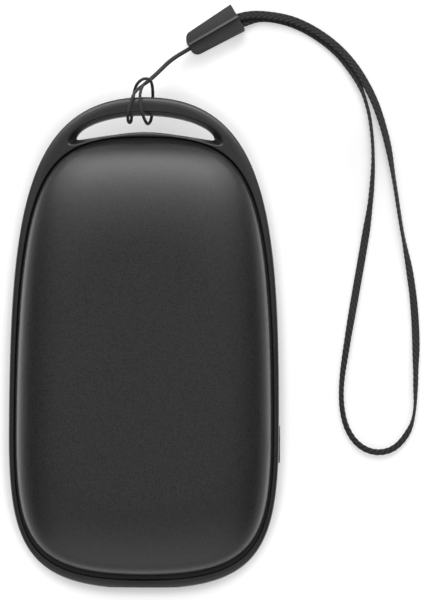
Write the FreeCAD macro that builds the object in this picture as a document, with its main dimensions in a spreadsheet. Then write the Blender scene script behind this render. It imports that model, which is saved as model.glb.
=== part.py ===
import FreeCAD
import Part
import Sketcher
import itertools
import math
import os
from FreeCAD import Placement, Rotation, Vector

# Rechargeable hand warmer. Two domed shells are bonded into the channels of a moulded mid frame, whose
# top end rises into a carrying arch. Inside are two cylindrical cells in a cradle, a control board with
# the charging port and the side button, and a film heater on each shell. A wrist strap hangs on the arch.
# Lengths are millimetres. X runs across the body, Y from the charging port to the arch, and Z up from
# the flat of the front shell, on which the warmer lies.

SIZES = (
    ("overall_length", 107.2, "arch crown to charging port end"),
    ("body_width", 58.7, "across the mid frame at its widest"),
    ("body_thickness", 25.0, "over the flats of both shells"),
    ("widest_from_end", 34.8, "port end to the widest station"),
    ("band_shoulder", 0.602, "fullness of the frame outline above its widest station"),
    ("band_crown", 0.94, "fullness of the frame outline at the arch crown"),
    ("band_flank", 0.745, "fullness of the frame outline below its widest station"),
    ("band_heel", 0.868, "fullness of the frame outline at the port end"),
    ("band_height", 7.0, "mid frame along Z"),
    ("band_bulge", 1.6, "how far the band rounds in at its two edges"),
    ("band_round", 10.0, "how upright the wall of the band is below its rounded edges, as a power"),
    ("arch_bar", 3.7, "width of the arch at its crown"),
    ("strap_opening_height", 4.05, "crescent under the arch, at the middle"),
    ("strap_opening_span", 30.2, "crescent under the arch, tip to tip"),
    ("strap_opening_drop", 5.4, "crescent tips below its crown"),
    ("flare_crown", 0.45, "widening of the crescent under the arch"),
    ("flare_floor", 0.1, "widening of the crescent at its lower curve"),
    ("flare_tip", 1.55, "widening of the crescent past its tips"),
    ("flare_drop", 0.9, "lowering of the crescent tips where it widens"),
    ("flare_sag", 1.2, "added roundness of the crescent below its tips where it widens"),
    ("flare_depth", 2.5, "widening of the crescent along Z, from both faces"),
    ("rim_bevel", 0.4, "bevel round the crescent at both faces"),
    ("rim_bevel_depth", 0.22, "bevel round the crescent along Z"),
    ("crescent_tip", 0.9, "roundness of the crescent below its tips"),
    ("crescent_rise", 0.44, "fullness of the crescent above its tips"),
    ("crescent_pull", 0.6, "fullness of the crescent at its middle"),
    ("crescent_rim", 1.05, "bar between the crescent and the groove"),
    ("lip_side", 1.15, "frame lip beside the shells"),
    ("lip_end", 1.85, "frame lip at the port end"),
    ("groove_side", 0.5, "shadow groove beside the shells"),
    ("groove_end", 0.95, "shadow groove at both ends of the shells"),
    ("shell_shoulder", 0.951, "fullness of the shell outline above its widest station"),
    ("shell_crown", 0.755, "fullness of the shell outline at its top edge"),
    ("shell_flank", 0.756, "fullness of the shell outline below its widest station"),
    ("shell_heel", 0.896, "fullness of the shell outline at its lower edge"),
    ("lip_shoulder", 0.9, "fullness of the outer edge of the groove above its widest station"),
    ("lip_crown", 0.785, "fullness of the outer edge of the groove at its top"),
    ("shell_wall", 1.5, "shell thickness"),
    ("dome_side", 12.0, "rounding of the shells from each side"),
    ("dome_top", 25.0, "rounding of the shells from the arch end"),
    ("dome_heel", 15.0, "rounding of the shells from the port end"),
    ("web_thickness", 3.4, "frame ledge that both shells seat on"),
    ("web_width", 2.6, "reach of the ledge inside the shell outline"),
    ("rib_height", 0.9, "locating rib inside the shell skirts"),
    ("rib_clearance", 0.2, "shell skirt to locating rib"),
    ("facet_depth", 0.34, "flat of the port end"),
    ("cell_side_room", 6.55, "cells to the frame ledge, at each side"),
    ("cell_gap", 0.3, "least distance between the two cells"),
    ("cell_from_end", 3.4, "lower end of the cells past the end of the converter coil"),
    ("cell_cap", 9.0, "diameter of the positive cap"),
    ("cell_rim", 1.7, "sleeve rim outside the insulating ring"),
    ("cell_recess", 0.4, "depth of the insulating ring"),
    ("cell_edge", 0.6, "rounding of the sleeve at both ends"),
    ("strip_lap", 4.65, "nickel strip past the axis of each cell"),
    ("strip_height", 8.0, "nickel strip along Z"),
    ("strip_thickness", 0.2, "nickel strip"),
    ("strip_tab", 5.0, "solder tab width"),
    ("strip_reach", 5.8, "solder tab above the cell axis"),
    ("cradle_clearance", 0.25, "cells and strips to the cradle"),
    ("cradle_wall", 1.2, "cradle walls"),
    ("cradle_lift", 0.2, "cradle above the control board"),
    ("cradle_headroom", 2.34, "rounded upper corners of the cradle to the frame ledge, along Y"),
    ("cradle_corner", 2.5, "outer corners of the cradle"),
    ("ear_thickness", 1.2, "cradle ears on the frame lugs"),
    ("ear_width", 4.8, "cradle ears and frame lugs"),
    ("ear_reach", 2.0, "cradle ear past its screw"),
    ("lug_clearance", 0.2, "frame lugs to the cradle"),
    ("lug_overlap", 1.0, "how far a lug runs into the ledge"),
    ("side_screw_in", 2.8, "side screws from the frame ledge"),
    ("cradle_screw_station", 9.5, "side cradle screws past the upper board screw"),
    ("top_screw_in", 6.9, "upper cradle screw from the shell top"),
    ("arm_screw_station", 4.0, "upper board screw past the light bar"),
    ("heel_screw_edge", 2.6, "lower board screws from the frame ledge, along X"),
    ("heel_screw_in", 6.65, "lower board screws from the frame ledge, along Y"),
    ("screw_head", 3.2, "screw head diameter"),
    ("screw_head_height", 1.2, "screw head"),
    ("screw_shank", 1.8, "screw shank diameter"),
    ("screw_length", 3.6, "screw under its head"),
    ("screw_clearance", 0.05, "screw to its bore, on the radius"),
    ("board_thickness", 1.1, "control board"),
    ("board_clearance", 0.3, "control board to the frame ledge"),
    ("board_edge_in", 2.05, "upper edge of the board short of the cells"),
    ("board_arm", 0.5, "board arm to the cells"),
    ("arm_end", 3.2, "board arm past its screw"),
    ("usb_width", 8.94, "charging receptacle"),
    ("usb_height", 3.16, "charging receptacle"),
    ("usb_length", 9.3, "charging receptacle"),
    ("usb_wall", 0.3, "receptacle shell"),
    ("usb_setback", 0.3, "receptacle mouth behind the facet"),
    ("usb_clearance", 0.15, "receptacle to its opening in the frame"),
    ("tongue_side", 1.125, "receptacle to its tongue, at each side"),
    ("tongue_thickness", 0.7, "receptacle tongue"),
    ("tongue_setback", 0.9, "tongue tip behind the mouth"),
    ("tongue_base", 2.2, "moulding behind the tongue"),
    ("tongue_clearance", 0.05, "moulding to the receptacle shell"),
    ("button_station", -3.3, "side button past the widest station"),
    ("button_length", 8.3, "side button along Y"),
    ("button_height", 2.4, "side button along Z"),
    ("button_proud", 0.2, "side button past the band"),
    ("button_clearance", 0.2, "side button to its slot"),
    ("button_recess", 0.5, "depth of the hollow round the button"),
    ("button_recess_rim", 0.95, "width of the hollow round the button"),
    ("button_round", 0.3, "rounding of the button face"),
    ("button_travel", 0.25, "stroke of the side button"),
    ("flange_lap", 0.85, "retaining flange past the button, at each end"),
    ("notch_skin", 0.4, "ledge above and below the notch of the retaining flange"),
    ("flange_clearance", 0.2, "retaining flange to its notch, along Z"),
    ("flange_thickness", 0.9, "retaining flange of the button"),
    ("flange_gap", 0.1, "flange to the back of the lip"),
    ("post_diameter", 2.0, "post between the button and the switch stem"),
    ("switch_depth", 3.5, "switch body along X"),
    ("switch_length", 4.7, "switch body along Y"),
    ("switch_height", 2.8, "switch body along Z"),
    ("switch_in", 1.05, "switch body behind the frame ledge"),
    ("stem_length", 1.6, "switch stem along X"),
    ("stem_width", 1.8, "switch stem along Y"),
    ("stem_height", 1.2, "switch stem along Z"),
    ("stem_proud", 0.75, "switch stem past the switch body"),
    ("stem_clearance", 0.1, "switch stem to its pocket"),
    ("lens_station", 1.65, "light bar past the flange of the button"),
    ("lens_length", 6.0, "indicator lens along Y"),
    ("lens_height", 1.6, "indicator lens along Z"),
    ("lens_clearance", 0.04, "indicator lens to its slot"),
    ("lens_in", 0.15, "inner end of the light bar short of the inner edge of the ledge"),
    ("led_pitch", 1.9, "indicator lamps along Y"),
    ("led_width", 1.4, "indicator lamp along Y"),
    ("led_depth", 0.8, "indicator lamp along X"),
    ("led_height", 2.1, "indicator lamp along Z"),
    ("led_gap", 0.4, "lamp to the inner end of the lens"),
    ("film_thickness", 0.25, "heater film"),
    ("film_margin", 0.5, "heater film inside the flat of the shell"),
    ("pad_thickness", 1.35, "least thickness of the insulation pads"),
    ("pad_gap", 0.2, "insulation pad to the cells"),
    ("pad_margin", 1.0, "insulation pad inside the heater film"),
    ("pad_heel", 2.6, "bare tail of the heater film"),
    ("chip_width", 5.0, "controller chip"),
    ("chip_height", 0.9, "controller chip"),
    ("inductor_width", 6.0, "converter coil"),
    ("inductor_height", 3.0, "converter coil"),
    ("inductor_corner", 1.2, "corners of the converter coil"),
    ("capacitor_length", 2.0, "capacitors along Y"),
    ("capacitor_width", 1.25, "capacitors along X"),
    ("capacitor_height", 1.1, "capacitors along Z"),
    ("capacitor_pitch", 2.4, "capacitors along X"),
    ("component_side", 1.43, "chip and coil from the receptacle"),
    ("component_in", 0.2, "coil past the capacitors"),
    ("capacitor_in", 1.6, "capacitors from the frame ledge"),
    ("capacitor_side", 1.7, "first capacitors from the receptacle"),
    ("lead_diameter", 1.3, "battery leads"),
    ("lead_valley", 0.4, "lead between the cells, as a share of the cell diameter from their axes"),
    ("lead_foot", 2.2, "solder row from the upper edge of the board"),
    ("heater_lead_diameter", 1.0, "heater leads"),
    ("heater_lead_side", 4.3, "heater leads from the long axis"),
    ("heater_lead_grip", 0.9, "heater lead on the tail of its film"),
    ("thermistor_diameter", 2.4, "thermistor bead"),
    ("thermistor_length", 4.0, "thermistor bead"),
    ("thermistor_round", 0.7, "rounding of the thermistor bead"),
    ("thermistor_station", 12.0, "thermistor bead from the lower end of the cells"),
    ("thermistor_lead", 0.7, "thermistor leads"),
    ("thermistor_pitch", 0.84, "thermistor leads at the bead, along X"),
    ("cord_diameter", 0.7, "thin cord of the strap"),
    ("strap_width", 1.7, "woven wrist strap"),
    ("strap_thickness", 0.7, "woven wrist strap"),
    ("crimp_side", 10.07, "narrow end of the strap end from the long axis"),
    ("crimp_beyond", 13.17, "narrow end of the strap end past the arch crown"),
    ("crimp_turn", 30.7, "heading of the strap end, in degrees from X"),
    ("crimp_length", 12.0, "moulded strap end"),
    ("crimp_wide", 6.65, "moulded strap end at the strap"),
    ("crimp_narrow", 5.2, "moulded strap end at the cord"),
    ("crimp_thickness", 3.3, "moulded strap end"),
    ("crimp_step", 0.8, "raised half of the strap end"),
    ("crimp_corner", 1.5, "corners of the strap end at the cord"),
    ("crimp_round", 0.45, "edge rounding of the strap end"),
)

doc = FreeCAD.newDocument("HandWarmer")
sheet = doc.addObject("Spreadsheet::Sheet", "Sizes")
rows = itertools.count(1)


def enter(alias, content, meaning):
    """Writes one named size to the sheet."""
    row = next(rows)
    sheet.set(f"A{row}", meaning)
    sheet.set(f"B{row}", str(content))
    sheet.setAlias(f"B{row}", alias)


for entry in SIZES:
    enter(*entry)
doc.recompute()


def size(alias):
    """One driving dimension."""
    return float(sheet.get(alias))


def measure(text):
    """The value of an expression over the driving dimensions."""
    return float(sheet.evalExpression(text))


# Places that several pieces share, as expressions over the sheet.
MID = "(Sizes.body_thickness / 2)"
CROWN = "(Sizes.overall_length / 2)"
PORT_END = "(-Sizes.overall_length / 2)"
BAND_SIDE = "(Sizes.body_width / 2)"
SHELL_SIDE = f"({BAND_SIDE} - Sizes.lip_side - Sizes.groove_side)"
SHELL_TOP = (
    f"({CROWN} - Sizes.arch_bar - Sizes.strap_opening_height"
    " - Sizes.crescent_rim - Sizes.groove_end)"
)
SHELL_END = f"({PORT_END} + Sizes.lip_end + Sizes.groove_end)"
WEB_TOP = f"({MID} + Sizes.web_thickness / 2)"
WEB_UNDER = f"({MID} - Sizes.web_thickness / 2)"
FACET = f"({PORT_END} + Sizes.facet_depth)"
LIP_BACK = f"({BAND_SIDE} - Sizes.lip_side)"
WIDEST = f"({PORT_END} + Sizes.widest_from_end)"
LEDGE_SIDE = f"({SHELL_SIDE} - Sizes.web_width)"
LEDGE_END = f"({SHELL_END} + Sizes.web_width)"
CAPACITORS = f"({LEDGE_END} + Sizes.capacitor_in)"
COMPONENTS = f"({CAPACITORS} + Sizes.capacitor_length + Sizes.component_in + Sizes.inductor_width / 2)"
CELL_LOW = f"({COMPONENTS} + Sizes.inductor_width / 2 + Sizes.cell_from_end)"
CELL_HIGH = f"({CELL_LOW} + Sizes.cell_length)"
CELL_SIDE = f"({LEDGE_SIDE} - Sizes.cell_side_room - Sizes.cell_diameter / 2)"
CELL_RING = "(Sizes.cell_diameter - 2 * Sizes.cell_rim)"
CRADLE_SIDE = f"({CELL_SIDE} + Sizes.cell_diameter / 2 + Sizes.cradle_clearance)"
CRADLE_LOW = f"({CELL_LOW} - Sizes.strip_thickness - Sizes.cradle_clearance)"
CRADLE_HIGH = f"({CELL_HIGH} + Sizes.strip_thickness + Sizes.cradle_clearance)"
CRADLE_OUT = f"({LEDGE_SIDE} - Sizes.cell_side_room + Sizes.cradle_clearance + Sizes.cradle_wall)"
EAR_TOP = f"({WEB_TOP} + Sizes.ear_thickness)"
FLANGE_LENGTH = "(Sizes.button_length + 2 * Sizes.flange_lap)"
FLANGE_HEIGHT = "(Sizes.web_thickness - 2 * (Sizes.notch_skin + Sizes.flange_clearance))"
BUTTON = f"({WIDEST} + Sizes.button_station)"
LENS = f"({BUTTON} + {FLANGE_LENGTH} / 2 + Sizes.lens_station + Sizes.lens_length / 2)"
ARM_SCREW = f"({LENS} + Sizes.lens_length / 2 + Sizes.arm_screw_station)"
CRADLE_SCREW = f"({ARM_SCREW} + Sizes.cradle_screw_station)"
SIDE_SCREW = f"({LEDGE_SIDE} - Sizes.side_screw_in)"
TOP_SCREW = f"({SHELL_TOP} - Sizes.top_screw_in)"
HEEL_SCREW = f"({LEDGE_END} + Sizes.heel_screw_in)"
BOARD_UNDER = f"({WEB_UNDER} - Sizes.board_thickness)"
BOARD_EDGE = f"({CELL_LOW} - Sizes.board_edge_in)"
ARM_INNER = f"({CELL_SIDE} + Sizes.cell_diameter / 2 + Sizes.board_arm)"
USB_MOUTH = f"({FACET} + Sizes.usb_setback)"
USB_LEVEL = f"({WEB_UNDER} + Sizes.usb_height / 2)"
SWITCH_FRONT = f"({LEDGE_SIDE} - Sizes.switch_in)"
STEM_TIP = f"({SWITCH_FRONT} + Sizes.stem_proud)"
FLANGE_FACE = f"({LIP_BACK} - Sizes.flange_gap)"
LENS_END = f"({LEDGE_SIDE} + Sizes.lens_in)"

# The rounded section of the band ends just short of its crest, so that it meets both faces in an edge.
ROUNDED_SHARE = 0.9995


class Outline:
    """An egg-shaped outline of four cubic arcs that meet on the long axis and at the widest station."""

    def __init__(self, side, top, end, fullness):
        self.side = side
        self.top = top
        self.end = end
        self.fullness = fullness

    def inset(self, side, top=None, end=None):
        """The outline drawn in at its sides, its top and its lower end."""
        top = side if top is None else top
        end = side if end is None else end
        return Outline(self.side - side, self.top - top, self.end + end, self.fullness)

    def wire(self, level):
        """The closed outline at one height."""
        shoulder, crown, flank, heel = self.fullness
        widest = measure(WIDEST)
        above = widest + shoulder * (self.top - widest)
        below = widest - flank * (widest - self.end)
        right = Vector(self.side, widest, level)
        left = Vector(-self.side, widest, level)
        top = Vector(0, self.top, level)
        end = Vector(0, self.end, level)
        quarters = (
            (right, Vector(self.side, above, level), Vector(crown * self.side, self.top, level), top),
            (top, Vector(-crown * self.side, self.top, level), Vector(-self.side, above, level), left),
            (left, Vector(-self.side, below, level), Vector(-heel * self.side, self.end, level), end),
            (end, Vector(heel * self.side, self.end, level), Vector(self.side, below, level), right),
        )
        return Part.Wire([cubic(*poles) for poles in quarters])

    def prism(self, low, high):
        """The outline as an upright solid between two heights."""
        return Part.Face(self.wire(low)).extrude(Vector(0, 0, high - low))

    def crossing(self, start, stop):
        """The point of the outline's right half on the line between two points across it."""
        line = Part.LineSegment(Vector(*start, 0), Vector(*stop, 0)).toShape()
        return self.wire(0).distToShape(line)[1][0][0]

    def reach(self, side):
        """The highest place on the long axis at which the outline is still this wide to one side."""
        return self.crossing((side, measure(WIDEST)), (side, self.top)).y

    def half_width(self, station):
        """The distance from the long axis to the outline at one place along it."""
        return self.crossing((0, station), (self.side, station)).x


def cubic(*poles):
    """One cubic edge."""
    curve = Part.BezierCurve()
    curve.setPoles(list(poles))
    return curve.toShape()


def plain(name, shape):
    """A document object that holds a shape made by functions."""
    item = doc.addObject("Part::Feature", name)
    item.Shape = shape
    return item


def place(item, x="0", y="0", z="0"):
    """Binds the place of an object to the sheet."""
    for axis, text in zip("xyz", (x, y, z)):
        item.setExpression(f"Placement.Base.{axis}", text)
    return item


def box(name, low, high):
    """A block between two corners, each three expressions."""
    item = doc.addObject("Part::Box", name)
    for side, start, stop in zip(("Length", "Width", "Height"), low, high):
        item.setExpression(side, f"{stop} - {start}")
    return place(item, *low)


def rod(name, diameter, height, x, y, z):
    """An upright cylinder that starts at z."""
    item = doc.addObject("Part::Cylinder", name)
    item.setExpression("Radius", f"({diameter}) / 2")
    item.setExpression("Height", height)
    return place(item, x, y, z)


def fused(name, items):
    """Several objects joined."""
    item = doc.addObject("Part::MultiFuse", name)
    item.Shapes = items
    return item


def combined(kind, name, base, tool):
    """A cut or a common part of two objects."""
    item = doc.addObject(kind, name)
    item.Base = base
    item.Tool = tool
    return item


def new_body(name):
    """An empty body named after its piece."""
    return doc.addObject("PartDesign::Body", name)


def new_sketch(body, name, role, offset="0"):
    """A sketch on one origin plane of its own body, moved along the plane's normal."""
    sketch = body.newObject("Sketcher::SketchObject", name)
    plane = next(item for item in body.Origin.OriginFeatures if item.Role == role)
    sketch.AttachmentSupport = [(plane, "")]
    sketch.MapMode = "FlatFace"
    sketch.setExpression("AttachmentOffset.Base.z", offset)
    return sketch


def hold(sketch, geometry, point, x, y):
    """Ties one point of a sketch to two expressions."""
    for kind, axis, text in (("DistanceX", -2, x), ("DistanceY", -1, y)):
        distance = measure(text)
        if distance == 0:
            sketch.addConstraint(Sketcher.Constraint("PointOnObject", geometry, point, axis))
        elif distance > 0:
            tie = sketch.addConstraint(Sketcher.Constraint(kind, -1, 1, geometry, point, distance))
            sketch.setExpression(f"Constraints[{tie}]", text)
        else:
            tie = sketch.addConstraint(Sketcher.Constraint(kind, geometry, point, -1, 1, -distance))
            sketch.setExpression(f"Constraints[{tie}]", f"-({text})")


def polygon(sketch, corners):
    """A closed loop of straight lines, each corner tied to two expressions."""
    points = [Vector(measure(x), measure(y), 0) for x, y in corners]
    first = sketch.GeometryCount
    count = len(points)
    for index in range(count):
        sketch.addGeometry(Part.LineSegment(points[index], points[(index + 1) % count]), False)
    for index in range(count):
        following = first + (index + 1) % count
        sketch.addConstraint(Sketcher.Constraint("Coincident", first + index, 2, following, 1))
    for index, (x, y) in enumerate(corners):
        hold(sketch, first + index, 1, x, y)


def rectangle(sketch, left, right, low, high):
    """A closed rectangle between four expressions."""
    polygon(sketch, ((left, low), (right, low), (right, high), (left, high)))


def circle(sketch, diameter, x="0", y="0"):
    """A full circle."""
    centre = Vector(measure(x), measure(y), 0)
    ring = sketch.addGeometry(Part.Circle(centre, Vector(0, 0, 1), measure(diameter) / 2), False)
    hold(sketch, ring, 3, x, y)
    tie = sketch.addConstraint(Sketcher.Constraint("Diameter", ring, measure(diameter)))
    sketch.setExpression(f"Constraints[{tie}]", diameter)


def stadium(sketch, length, height):
    """A slot with round ends, centred on the sketch origin."""
    radius = measure(height) / 2
    half = measure(length) / 2 - radius
    up = Vector(0, 0, 1)
    quarter = math.pi / 2
    right = sketch.addGeometry(
        Part.ArcOfCircle(Part.Circle(Vector(half, 0, 0), up, radius), -quarter, quarter), False
    )
    top = sketch.addGeometry(
        Part.LineSegment(Vector(half, radius, 0), Vector(-half, radius, 0)), False
    )
    left = sketch.addGeometry(
        Part.ArcOfCircle(Part.Circle(Vector(-half, 0, 0), up, radius), quarter, 3 * quarter), False
    )
    low = sketch.addGeometry(
        Part.LineSegment(Vector(-half, -radius, 0), Vector(half, -radius, 0)), False
    )
    loop = (right, top, left, low)
    for index, item in enumerate(loop):
        sketch.addConstraint(Sketcher.Constraint("Tangent", item, 2, loop[(index + 1) % 4], 1))
    hold(sketch, right, 3, f"(({length}) - ({height})) / 2", "0")
    hold(sketch, left, 3, f"-(({length}) - ({height})) / 2", "0")
    tie = sketch.addConstraint(Sketcher.Constraint("Diameter", right, 2 * radius))
    sketch.setExpression(f"Constraints[{tie}]", height)
    sketch.addConstraint(Sketcher.Constraint("Equal", right, left))


def pad(body, sketch, name, length):
    """A sketch pulled up along its normal."""
    feature = body.newObject("PartDesign::Pad", name)
    feature.Profile = sketch
    feature.setExpression("Length", length)
    return feature


def revolution(body, sketch, name):
    """A sketch turned once round its upright axis."""
    feature = body.newObject("PartDesign::Revolution", name)
    feature.Profile = sketch
    feature.ReferenceAxis = (sketch, ["V_Axis"])
    feature.Angle = 360
    return feature


def rounded(body, name, base, radius, chosen):
    """Rounds the edges of a feature that a test picks."""
    doc.recompute()
    names = [f"Edge{index}" for index, edge in enumerate(base.Shape.Edges, 1) if chosen(edge)]
    feature = body.newObject("PartDesign::Fillet", name)
    feature.Base = (base, names)
    feature.setExpression("Radius", radius)
    return feature


def upright(edge):
    """Whether an edge runs along Z."""
    low, high = edge.Vertexes[0].Point, edge.Vertexes[-1].Point
    return abs(high.z - low.z) > 0.99 * edge.Length


def stadium_bar(name, role, length, height, depth):
    """A bar with a slot-shaped section, pulled along the normal of an origin plane."""
    body = new_body(name)
    sketch = new_sketch(body, f"{name}_section", role)
    stadium(sketch, length, height)
    pad(body, sketch, f"{name}_pad", depth)
    return body


def shell_outline():
    """The rim of both shells."""
    fullness = [size(f"shell_{part}") for part in ("shoulder", "crown", "flank", "heel")]
    return Outline(measure(SHELL_SIDE), measure(SHELL_TOP), measure(SHELL_END), fullness)


def lip_outline():
    """The outer edge of the groove round both shells."""
    fullness = [size(name) for name in ("lip_shoulder", "lip_crown", "shell_flank", "shell_heel")]
    side = measure(SHELL_SIDE) + size("groove_side")
    top = measure(SHELL_TOP) + size("groove_end")
    return Outline(side, top, measure(SHELL_END) - size("groove_end"), fullness)


def band_outline():
    """The mid frame seen from above, at the middle of its band."""
    fullness = [size(f"band_{part}") for part in ("shoulder", "crown", "flank", "heel")]
    return Outline(measure(BAND_SIDE), measure(CROWN), measure(PORT_END), fullness)


def settle_sizes():
    """Sizes that follow from others: the largest cells that the body takes, and the lower board screws."""
    cover = "Sizes.shell_wall + Sizes.film_thickness + Sizes.pad_thickness + Sizes.pad_gap"
    between = f"{LEDGE_SIDE} - Sizes.cell_side_room - Sizes.cell_gap / 2"
    through = f"Sizes.body_thickness - 2 * ({cover})"
    enter("cell_diameter", min(measure(between), measure(through)), "sleeved cylindrical cell")
    doc.recompute()
    ledge = shell_outline().inset(size("web_width"))
    corner = size("cradle_corner") * (1 - math.sqrt(0.5))
    cradle_top = ledge.reach(measure(CRADLE_OUT) - corner) + corner - size("cradle_headroom")
    end_wall = measure("Sizes.cradle_wall + Sizes.cradle_clearance + Sizes.strip_thickness")
    enter("cell_length", cradle_top - end_wall - measure(CELL_LOW), "sleeved cylindrical cell")
    heel = ledge.half_width(measure(HEEL_SCREW)) - size("heel_screw_edge")
    enter("heel_screw_side", heel, "lower board screws from the long axis")
    doc.recompute()


def dome(rim, seat, spring, crown):
    """A skirt that stands on its seat and closes in a quarter-ellipse dome with a flat crown."""
    steps = [math.radians(angle) for angle in (0, 15, 30, 45, 60, 75, 90)]
    rounding = [size(f"dome_{part}") for part in ("side", "top", "heel")]
    rings = []
    for step in steps:
        drawn_in = [reach * (1 - math.cos(step)) for reach in rounding]
        rings.append(rim.inset(*drawn_in).wire(spring + (crown - spring) * math.sin(step)))
    skirt = rim.prism(min(seat, spring), max(seat, spring))
    return skirt.fuse(Part.makeLoft(rings, True, False))


def make_shell(name, side):
    """One domed shell, above the mid plane for side 1 and below it for side -1."""
    middle = measure(MID)
    seat = middle + side * size("web_thickness") / 2
    spring = middle + side * size("band_height") / 2
    crown = middle + side * size("body_thickness") / 2
    wall = size("shell_wall")
    outer = plain(f"{name}_outside", dome(shell_outline(), seat, spring, crown))
    hollow = dome(shell_outline().inset(wall), seat - side * wall, spring, crown - side * wall)
    inner = plain(f"{name}_hollow", hollow)
    return combined("Part::Cut", name, outer, inner)


def band_form():
    """The band of the mid frame, rounded toward both faces and filled in."""
    half = size("band_height") / 2
    power = size("band_round")

    def drawn(share):
        return 1 - math.sqrt(1 - (ROUNDED_SHARE * abs(share)) ** power)

    rings = []
    shares = (0.4, 0.65, 0.8, 0.88, 0.93, 0.96, 0.98, 0.992, 0.998, 1)
    for share in (*(-share for share in reversed(shares)), 0, *shares):
        drawn_in = size("band_bulge") * drawn(share) / drawn(1)
        rings.append(band_outline().inset(drawn_in).wire(measure(MID) + share * half))
    return Part.makeLoft(rings, True, False)


def crescent(level, flare=0, bevel=0):
    """The strap opening at one height: two curves that meet in tips, widened by a share and by a bevel."""
    arch = measure(CROWN) - size("arch_bar")
    crown = arch + flare * size("flare_crown") + bevel
    floor = arch - size("strap_opening_height") - flare * size("flare_floor") - bevel
    tip = arch - size("strap_opening_drop") - flare * size("flare_drop")
    span = size("strap_opening_span") / 2 + flare * size("flare_tip") + bevel
    pull = size("crescent_pull") * span
    edges = []
    for side in (1, -1):
        corner = Vector(side * span, tip, level)
        top = Vector(0, crown, level)
        low = Vector(0, floor, level)
        above = Vector(side * span, tip + size("crescent_rise") * (crown - tip), level)
        sag = size("crescent_tip") + flare * size("flare_sag") + bevel
        below = Vector(side * span, tip - sag, level)
        toward_top = Vector(side * pull, crown, level)
        toward_low = Vector(side * pull, floor, level)
        edges.append(cubic(corner, above, toward_top, top))
        edges.append(cubic(low, toward_low, below, corner))
    return Part.Wire(Part.__sortEdges__(edges))


def strap_opening():
    """The crescent under the arch, with steep mouths and a bevelled rim at both faces."""
    middle, half = measure(MID), size("band_height") / 2
    rim = half - size("rim_bevel_depth")
    spring = half - size("flare_depth")
    rings = [
        crescent(middle - half, 1, size("rim_bevel")),
        crescent(middle - rim, 1),
        crescent(middle - spring),
        crescent(middle + spring),
        crescent(middle + rim, 1),
        crescent(middle + half, 1, size("rim_bevel")),
    ]
    return Part.makeLoft(rings, True, True)


def frame_channels():
    """The open middle of the frame and the channels that take the shell skirts."""
    middle, half = measure(MID), size("band_height")
    rim = shell_outline()
    lip = lip_outline()
    rib = rim.inset(size("shell_wall") + size("rib_clearance"))
    hole = rim.inset(size("web_width"))
    ledge = size("web_thickness") / 2
    rib_top = ledge + size("rib_height")
    cuts = [hole.prism(middle - half, middle + half)]
    for side in (1, -1):
        floor, crest, clear = (middle + side * reach for reach in (ledge, rib_top, half))
        channel = lip.prism(min(floor, clear), max(floor, clear))
        tongue = rib.prism(min(floor, crest), max(floor, crest))
        cuts.append(channel.cut(tongue))
    return cuts[0].fuse(cuts[1:])


def frame_lugs():
    """The screw lugs inside the ledge: one long lug beside the arm of the board, and four short ones."""
    half = "(Sizes.ear_width / 2)"
    inner = f"({CRADLE_OUT} + Sizes.lug_clearance)"
    outer = f"({LEDGE_SIDE} + Sizes.lug_overlap)"
    high = f"({CRADLE_SCREW} + {half})"
    low = f"({CRADLE_SCREW} - {half})"
    arm_low = f"({ARM_SCREW} - {half})"
    heel = (f"({HEEL_SCREW} - {half})", f"({HEEL_SCREW} + {half})")
    heel_in = f"(Sizes.heel_screw_side - {half})"
    lugs = [
        box("arm_lug", (inner, arm_low, WEB_UNDER), (outer, high, WEB_TOP)),
        box("left_lug", (f"-{outer}", low, WEB_UNDER), (f"-{inner}", high, WEB_TOP)),
        box(
            "top_lug",
            (f"-{half}", f"({TOP_SCREW} - {half})", WEB_UNDER),
            (half, f"({SHELL_TOP} - Sizes.web_width + Sizes.lug_overlap)", WEB_TOP),
        ),
        box("heel_lug_right", (heel_in, heel[0], WEB_UNDER), (outer, heel[1], WEB_TOP)),
        box("heel_lug_left", (f"-{outer}", heel[0], WEB_UNDER), (f"-{heel_in}", heel[1], WEB_TOP)),
    ]
    limit = shell_outline().inset(size("lug_overlap"))
    trim = plain("lug_trim", limit.prism(0, size("body_thickness")))
    return combined("Part::Common", "frame_lugs", fused("lug_blocks", lugs), trim)


def screw_places():
    """Where the cradle screws and the board screws stand."""
    side, heel = SIDE_SCREW, "Sizes.heel_screw_side"
    cradle = ((side, CRADLE_SCREW), (f"-{side}", CRADLE_SCREW), ("0", TOP_SCREW))
    board = ((side, ARM_SCREW), (heel, HEEL_SCREW), (f"-{heel}", HEEL_SCREW))
    return cradle, board


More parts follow.
